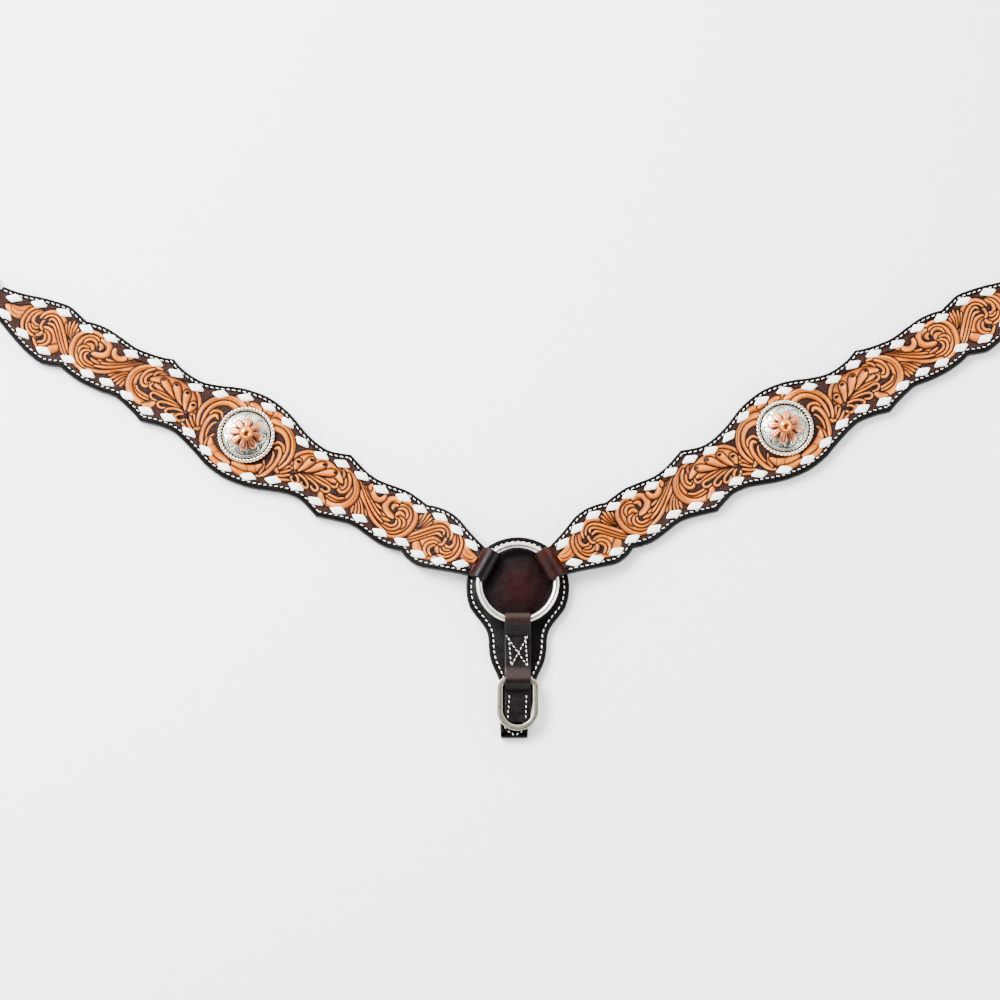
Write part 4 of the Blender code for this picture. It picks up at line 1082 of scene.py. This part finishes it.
def tug_buckle(side):
    path = loop_wire(side, HEEL_S, HEEL_S + BUCKLE_LONG, BUCKLE_HALF, BUCKLE_CORNER, HEEL_Z)
    obj = wire(SIDES[side] + "buckle_frame", path, round_section(BUCKLE_WIRE), MAT["nickel"])
    settle(obj, "nickel", SIDES[side] + "buckle", SIDES[side] + "tug_buckle")


def buckle_tongue(side):
    """The tongue: a flat wire curled round the buckle's heel bar, resting on its far bar."""
    r, rest = BUCKLE_WIRE + 0.25 + TONGUE_T / 2, HEEL_Z + TONGUE_LIFT
    path = [(HEEL_S + BUCKLE_LONG + TONGUE_PAST, rest), (HEEL_S + 4.0, rest)]
    path += arc(HEEL_S, HEEL_Z, r, 84, 330, 24)
    obj = strap(SIDES[side] + "tongue_wire", path, TONGUE_T, TONGUE_HALF, shoulder_place(side),
                MAT["nickel"], step=0.4, rim=0.0)
    settle(obj, "nickel", SIDES[side] + "tongue", SIDES[side] + "buckle_tongue")


# ---------------------------------------------------------------- conchos
def polar_solid(name, rings, place, mat):
    """A solid built from rings of (radius, height, hollow) arrays over the angles."""
    n = len(rings[0][0])
    a = circle(n)
    verts = np.stack([place(r * np.cos(a), r * np.sin(a), z) for r, z, _ in rings])
    obj = make_mesh(name, verts, tube(len(rings), n), mat, 50)
    paint(obj, "hollow", np.concatenate([np.broadcast_to(h, (n,)) for *_, h in rings]))
    return obj


def dome(r):
    """Height of a concho's domed face above its base."""
    return DOME_H - 3.1 * (r / 15.6) ** 2 - 1.0 * np.clip((r - 15.2) / 2.2, 0, 1) ** 2


def engraved_dome(label, place, z0):
    """Domed plate engraved with a ring of curling leaves and an edge line."""
    phi, flat = circle(240), np.ones(240)
    rings = [(r * flat, (z0 + z) * flat, 0.4)
             for r, z in ((0.3, 1.0), (2.8, 0.0), (CAP_R - 0.4, 0.0), (CAP_R, 0.3), (CAP_R, 1.0))]
    for r in np.linspace(CAP_R - 0.05, 0.4, 56):
        lean = phi + 0.06 * (r - 10)                      # the leaves lean as they grow outwards
        leaf = np.abs(np.sin(4 * lean)) ** 0.8
        tip = 10.6 + 4.4 * np.abs(np.cos(4 * lean + 0.3)) ** 0.7
        line = np.exp(-((r - tip) / 0.40) ** 2)           # the outline of the ring of leaves
        vein = np.exp(-(np.sin(4 * lean) / 0.10) ** 2) * (7.0 < r < 15.5)
        curl = np.exp(-(np.sin(16 * phi - 1.3 * r) / 0.34) ** 2) * (10.0 < r < 15.8)
        cutting = np.clip(line + 0.8 * vein + 0.55 * curl * leaf, 0, 1)
        border = math.exp(-((r - 16.3) / 0.28) ** 2)
        rings.append((r * flat, z0 + dome(r) - 0.34 * cutting - 0.35 * border,
                      np.clip(cutting + border, 0, 1) * 0.85))
    obj = polar_solid(label + "concho_dome", rings, place, MAT["silver"])
    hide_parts(label + "concho_cap")
    return obj


def rope_edge(label, place, z0):
    """The edge of two-strand twisted rope round the dome."""
    a, b = circle(552)[:, None], circle(16)[None, :]
    twist = np.abs(np.sin(0.5 * (2 * b - ROPE_TURNS * a)))
    r = 0.98 + 0.54 * twist ** 0.7
    radius = ROPE_R + r * np.cos(b)
    verts = place(radius * np.cos(a), radius * np.sin(a), z0 + 1.55 + r * np.sin(b))
    obj = make_mesh(label + "concho_rope", verts, grid_faces(*twist.shape, wrap_rows=True),
                    MAT["rope"], 80)
    paint(obj, "hollow", (1 - twist ** 0.9).ravel())
    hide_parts(label + "concho_rope_edge")
    return obj


def flower(label, place, z0, turn):
    """Eight rounded petals lying on the dome, each with a crease."""
    wave = PETALS / 2 * (circle(256) - math.radians(turn))
    lobe = np.abs(np.cos(wave))
    outer = 5.6 + 6.9 * lobe ** 0.32
    z0 += 0.35                                            # lies just clear of the engraving
    crown = z0 + DOME_H
    rings = [(0.3 * outer, np.full(256, crown), 0.6)]
    rings += [(k * outer, z0 + dome(k * outer), 0.4) for k in (0.65, 0.97)]
    for k in np.linspace(1.0, 0.04, 24):
        crease = np.exp(-(np.sin(wave) / 0.10) ** 2) * (0.45 < k < 0.86)
        valley = (1 - lobe) ** 1.6 * np.clip((k - 0.35) / 0.2, 0, 1)
        body = 0.35 + 1.05 * math.sqrt(max(1 - k ** 5, 0))
        z = np.minimum(z0 + dome(k * outer), crown) + body - 0.28 * crease - 0.55 * valley
        rings.append((k * outer, z, np.clip(0.55 * crease + 1.6 * valley, 0, 1)))
    obj = polar_solid(label + "concho_petals", rings, place, MAT["copper"])
    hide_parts(label + "concho_flower")
    return obj


def button(label, place, zb):
    """The bead: a collar with a polished ball standing out of it."""
    profile = [(0.05, 0.0), (4.6, 0.0), (5.1, 0.25), (5.4, 0.9), (5.35, 1.35), (5.0, 1.65),
               (4.8, 1.7)]
    profile += [(BALL_R * math.cos(a), 1.75 + 3.4 * math.sin(a))
                for a in np.radians(range(4, 90, 6))] + [(0.05, 5.15)]
    rings = [(np.full(64, r), np.full(64, zb + h), 1.0 if 1.6 < h < 1.9 else 0.0)
             for r, h in profile]
    obj = polar_solid(label + "concho_button", rings, place, MAT["bead"])
    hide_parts(label + "concho_bead")
    return obj


def concho(side):
    """The visible pieces of one concho; its post and back screw keep their CAD shapes."""
    label, z0 = SIDES[side], PLY_TOP + 0.3

    def place(a, b, z):
        return to_world(side, CONCHO_S + a, b, z)

    pieces = [(engraved_dome(label, place, z0), "silver"), (rope_edge(label, place, z0), "silver"),
              (flower(label, place, z0, PETAL_TURN[side]), "copper"),
              (button(label, place, z0 + DOME_H + 1.95), "copper")]
    for obj, slot in pieces:
        settle(obj, slot, label + "shoulder")
    for piece in ("concho_post", "concho_back_screw"):
        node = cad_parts[label + piece]
        node.data.materials.clear()
        node.data.materials.append(MAT["nickel"])


# ---------------------------------------------------------------- centre: safe, ring, strap, dee
# the safe's right side, from its round top down to the tail
SAFE_FLANK = [(30.2, -22.3), (27.2, -26.0), (24.2, -30.1), (22.1, -34.3), (21.1, -39.0),
              (20.8, -46.0), (20.2, -51.0), (19.0, -56.0), (17.1, -60.6), (14.9, -65.2),
              (13.2, -69.8), (11.9, -76.0), (11.4, -84.0), (11.0, -92.0), (10.3, -100.0)]


def safe_outline():
    """The safe's outline: a round top, a waist and a square tail that leans to the left."""
    half = [(SAFE_R * math.cos(a), SAFE_CY + SAFE_R * math.sin(a))
            for a in np.radians(range(90, -27, -6))] + SAFE_FLANK + [(9.5, SAFE_END)]
    pts = resample(half, 1.3)[0]
    pts[0, 0] = 0.0
    pts = np.vstack([pts, pts[:0:-1] * np.array([-1, 1])])
    pts[:, 0] -= 2.6 * ease((-78 - pts[:, 1]) / 28)
    return pts


def inward(outline):
    """Unit vectors that point into a clockwise outline at each of its points."""
    d = np.roll(outline, -1, axis=0) - np.roll(outline, 1, axis=0)
    d /= np.linalg.norm(d, axis=1)[:, None]
    return np.stack([d[:, 1], -d[:, 0]], axis=1)


def plate(name, levels, mat):
    """One flat ply of the safe from its outline at several insets and heights."""
    base = safe_outline()
    side = inward(base)
    verts = np.stack([np.column_stack([base + side * i, np.full(len(base), z)])
                      for i, z in levels])
    return make_mesh(name, verts * MM, tube(len(levels), len(base)), mat, 50)


def safe():
    """The safe's two plies and the stitching round them, in a groove."""
    top = plate("safe_face", ((0.0, 2.5), (0.0, 4.4), (0.15, 4.85), (0.5, 5.15), (1.1, SAFE_TOP),
                              (3.0, SAFE_TOP), (SAFE_ROW, 5.08), (4.2, SAFE_TOP)), MAT["safe"])
    settle(top, "safe_leather", "drop", "safe_top_ply")
    back = plate("safe_back", ((0.4, 0.0), (0.0, 0.4), (0.0, 1.9), (0.3, 2.2)), MAT["lining"])
    settle(back, "lining_leather", "drop", "safe_lining")
    outline = safe_outline()
    row = outline + inward(outline) * SAFE_ROW
    first = int(np.argmin(row[:, 1] + (row[:, 0] > 0) * 1000))    # lowest point on the left
    row = np.roll(row, -first, axis=0)
    row = row[row[:, 1] > -106.0]
    islands = stitch_row(np.column_stack([row, np.full(len(row), SAFE_TOP)]), -0.2, width=0.9)
    for a, b in (((-7.0, -106.8), (-5.6, -107.8)), ((-4.2, -108.2), (-2.9, -109.6)),
                 ((-0.9, -109.6), (0.5, -108.2)), ((1.9, -107.8), (3.2, -106.8))):
        islands += stitch_row([(*a, SAFE_TOP), (*b, SAFE_TOP)], -0.2, length=2.2, width=0.9,
                              lean=0.0)
    settle(join_islands("safe_stitches", islands, MAT["thread"]), "lace", "drop")


def drop_strap():
    """The drop strap: folded round the centre ring, over the dee's bar and down to the tail."""
    low, eye, hump = (v + LOOP_T / 2 for v in (DROP_REST, DROP_EYE_R, DROP_HUMP_R))
    top_run = low + LOOP_T + 0.3
    start, end = (-40.0, low), (-38.0, top_run)
    path = [(DEE_BAR_Y + 6.0, low), (-50.0, low), start]
    path += arc(DROP_EYE_Y, RING_Z, eye, tangent(start, DROP_EYE_Y, RING_Z, eye, 1),
                tangent(end, DROP_EYE_Y, RING_Z, eye, -1) + 360, 30)
    path += [end, (DEE_BAR_Y + 9.0, top_run), (DEE_BAR_Y + 5.6, top_run + 0.7)]
    path += arc(DEE_BAR_Y, DEE_Z, hump, 62, 150, 14)
    path += [(DEE_BAR_Y - 5.2, low + 0.9), (DEE_BAR_Y - 8.0, low), (-100.6, low)]

    def flare(p):                                         # rounds off the lower end
        past = np.clip(DROP_ROUND_Y - p[:, 0], 0, 9.2) / 10.8
        rounded = np.minimum(DROP_HALF, 10.4 * np.sqrt(np.clip(1 - past ** 2, 0, 1)))
        return np.where(p[:, 0] < DROP_ROUND_Y, rounded, DROP_HALF)

    def painted_fold_highlight(p):                                          # painted highlight: brown on the lit slopes of the folds over the ring and the dee's bar
        y = p[:, 0]
        return np.exp(-((y + 26.0) / 4.2) ** 4) + 0.85 * np.exp(-((y + 66.0) / 5.2) ** 4)

    obj = strap("drop_strap_leather", path, LOOP_T, DROP_HALF, drop_place, MAT["strap"],
                flare=flare, shade=painted_fold_highlight, rim=0.0)
    settle(obj, "safe_leather", "drop", "drop_strap")

    upper, lower = top_run + LOOP_T / 2, low + LOOP_T / 2
    rows = [((-6.4, -39.0), (-4.8, -59.6), upper, 3.3), ((5.4, -38.0), (7.0, -60.6), upper, 3.3),
            ((-9.0, -37.0), (7.2, -60.6), upper, 3.3), ((9.0, -35.0), (-4.6, -60.0), upper, 3.3),
            ((-5.8, -80.5), (-7.2, -98.4), lower, 3.6), ((6.3, -80.5), (5.6, -98.4), lower, 3.6)]
    islands = []
    for a, b, z, pitch in rows:
        islands += stitch_row([(*a, z), (*b, z)], -0.15, pitch=pitch, length=2.6, width=0.6)
    settle(join_islands("drop_strap_stitches", islands, MAT["thread"]), "lace", "drop")


def bend(cx, cy, r, angles, z):
    """A round bend of a wire, as points with their outward directions."""
    return [((cx + r * math.cos(a), cy + r * math.sin(a), z), (math.cos(a), math.sin(a)))
            for a in angles]


def centre_ring():
    path = bend(0, 0, RING_R, circle(160), RING_Z)
    obj = wire("ring_wire", path, round_section(RING_WIRE, 24), MAT["nickel"])
    settle(obj, "nickel", "centre_ring", "centre_ring")


def drop_dee():
    """The dee: a half-round bow and two tight corners, in flat-faced wire."""
    path = bend(0, DEE_BOW_Y, DEE_HALF, np.radians(range(180, 361, 3)), DEE_Z)
    for cx, a0 in ((DEE_HALF - DEE_CORNER, 0), (DEE_CORNER - DEE_HALF, 90)):
        path += bend(cx, DEE_BAR_Y - DEE_CORNER, DEE_CORNER, quarter(a0, 12), DEE_Z)
    obj = wire("dee_frame", path, rounded_rect(*DEE_SECTION), MAT["satin"], 40)
    settle(obj, "satin_nickel", "drop_dee", "drop_dee")


# ---------------------------------------------------------------- build
carving = carving_grid()
safe()
drop_strap()
centre_ring()
drop_dee()
for which in SIDES:
    tooled_ply(which, carving)
    lining_ply(which)
    lacing(which, True)
    lacing(which, False)
    edge_stitches(which)
    ring_loop(which)
    outer_loop(which)
    end_ring(which)
    tug_strap(which)
    tug_stitches(which)
    tug_keeper(which)
    tug_buckle(which)
    buckle_tongue(which)
    concho(which)


# ---------------------------------------------------------------- floor, lights and camera
LAMPS = [("key", (-1.15, 0.95, 1.25), 1.1, 150.0), ("fill", (1.5, -0.6, 1.1), 1.2, 35.0)]
SURROUND = 4.6                                   # strength of the soft white surroundings
DARK_TOWARDS, DARK_FADE = (0.25, -0.30, 0.92), ((0.42, 1.0), (0.88, 0.04))
FLOOR_HALF, FLOOR_Z = 6.0, -0.0004               # metres
CAMERA_RISE, CAMERA_AIM = math.radians(78), Vector((-0.0127, 0.0608, RING_Z * MM))
VIEW_WIDTH, LENS, SENSOR = 0.720, 200, 36        # metres across the view, lens and sensor in mm


def studio():
    """A pale floor, soft white surroundings with a dark patch overhead, and two lamps."""
    mesh = bpy.data.meshes.new("floor")
    corners = [(x * FLOOR_HALF, y * FLOOR_HALF, FLOOR_Z)
               for x, y in ((-1, -1), (1, -1), (1, 1), (-1, 1))]
    mesh.from_pydata(corners, [], [(0, 1, 2, 3)])
    floor = bpy.data.objects.new("floor", mesh)
    bpy.context.scene.collection.objects.link(floor)
    shade = Shader("pale_floor", (0.93, 0.93, 0.93), rough=0.85, spec=0.1)
    mesh.materials.append(shade.mat)

    world = bpy.data.worlds.new("studio")
    world.use_nodes = True
    tree = world.node_tree
    overhead = tree.nodes.new("ShaderNodeVectorMath")
    overhead.operation = "DOT_PRODUCT"
    overhead.inputs[1].default_value = DARK_TOWARDS
    tree.links.new(tree.nodes.new("ShaderNodeTexCoord").outputs["Generated"], overhead.inputs[0])
    ramp = tree.nodes.new("ShaderNodeValToRGB")
    tree.links.new(overhead.outputs["Value"], ramp.inputs["Fac"])
    for element, (pos, value) in zip(ramp.color_ramp.elements, DARK_FADE):
        element.position, element.color = pos, (value, value, value, 1)
    tree.links.new(ramp.outputs["Color"], tree.nodes["Background"].inputs["Color"])
    tree.nodes["Background"].inputs["Strength"].default_value = SURROUND
    bpy.context.scene.world = world
    for name, place, size, power in LAMPS:
        light = bpy.data.lights.new(name, "AREA")
        light.size, light.energy = size, power
        lamp = bpy.data.objects.new(name, light)
        lamp.location = place
        towards = Vector((0, 0.06, 0)) - Vector(place)
        lamp.rotation_euler = towards.to_track_quat("-Z", "Y").to_euler()
        bpy.context.scene.collection.objects.link(lamp)


def camera():
    """A long lens above the collar, leaning towards the drop."""
    back = Vector((0, -math.cos(CAMERA_RISE), math.sin(CAMERA_RISE)))
    data = bpy.data.cameras.new("camera")
    data.lens, data.sensor_width = LENS, SENSOR
    cam = bpy.data.objects.new("camera", data)
    cam.location = CAMERA_AIM + back * (VIEW_WIDTH * LENS / SENSOR)
    cam.rotation_euler = (-back).to_track_quat("-Z", "Y").to_euler()
    data.clip_end = 50
    bpy.context.scene.collection.objects.link(cam)
    bpy.context.scene.camera = cam


studio()
camera()
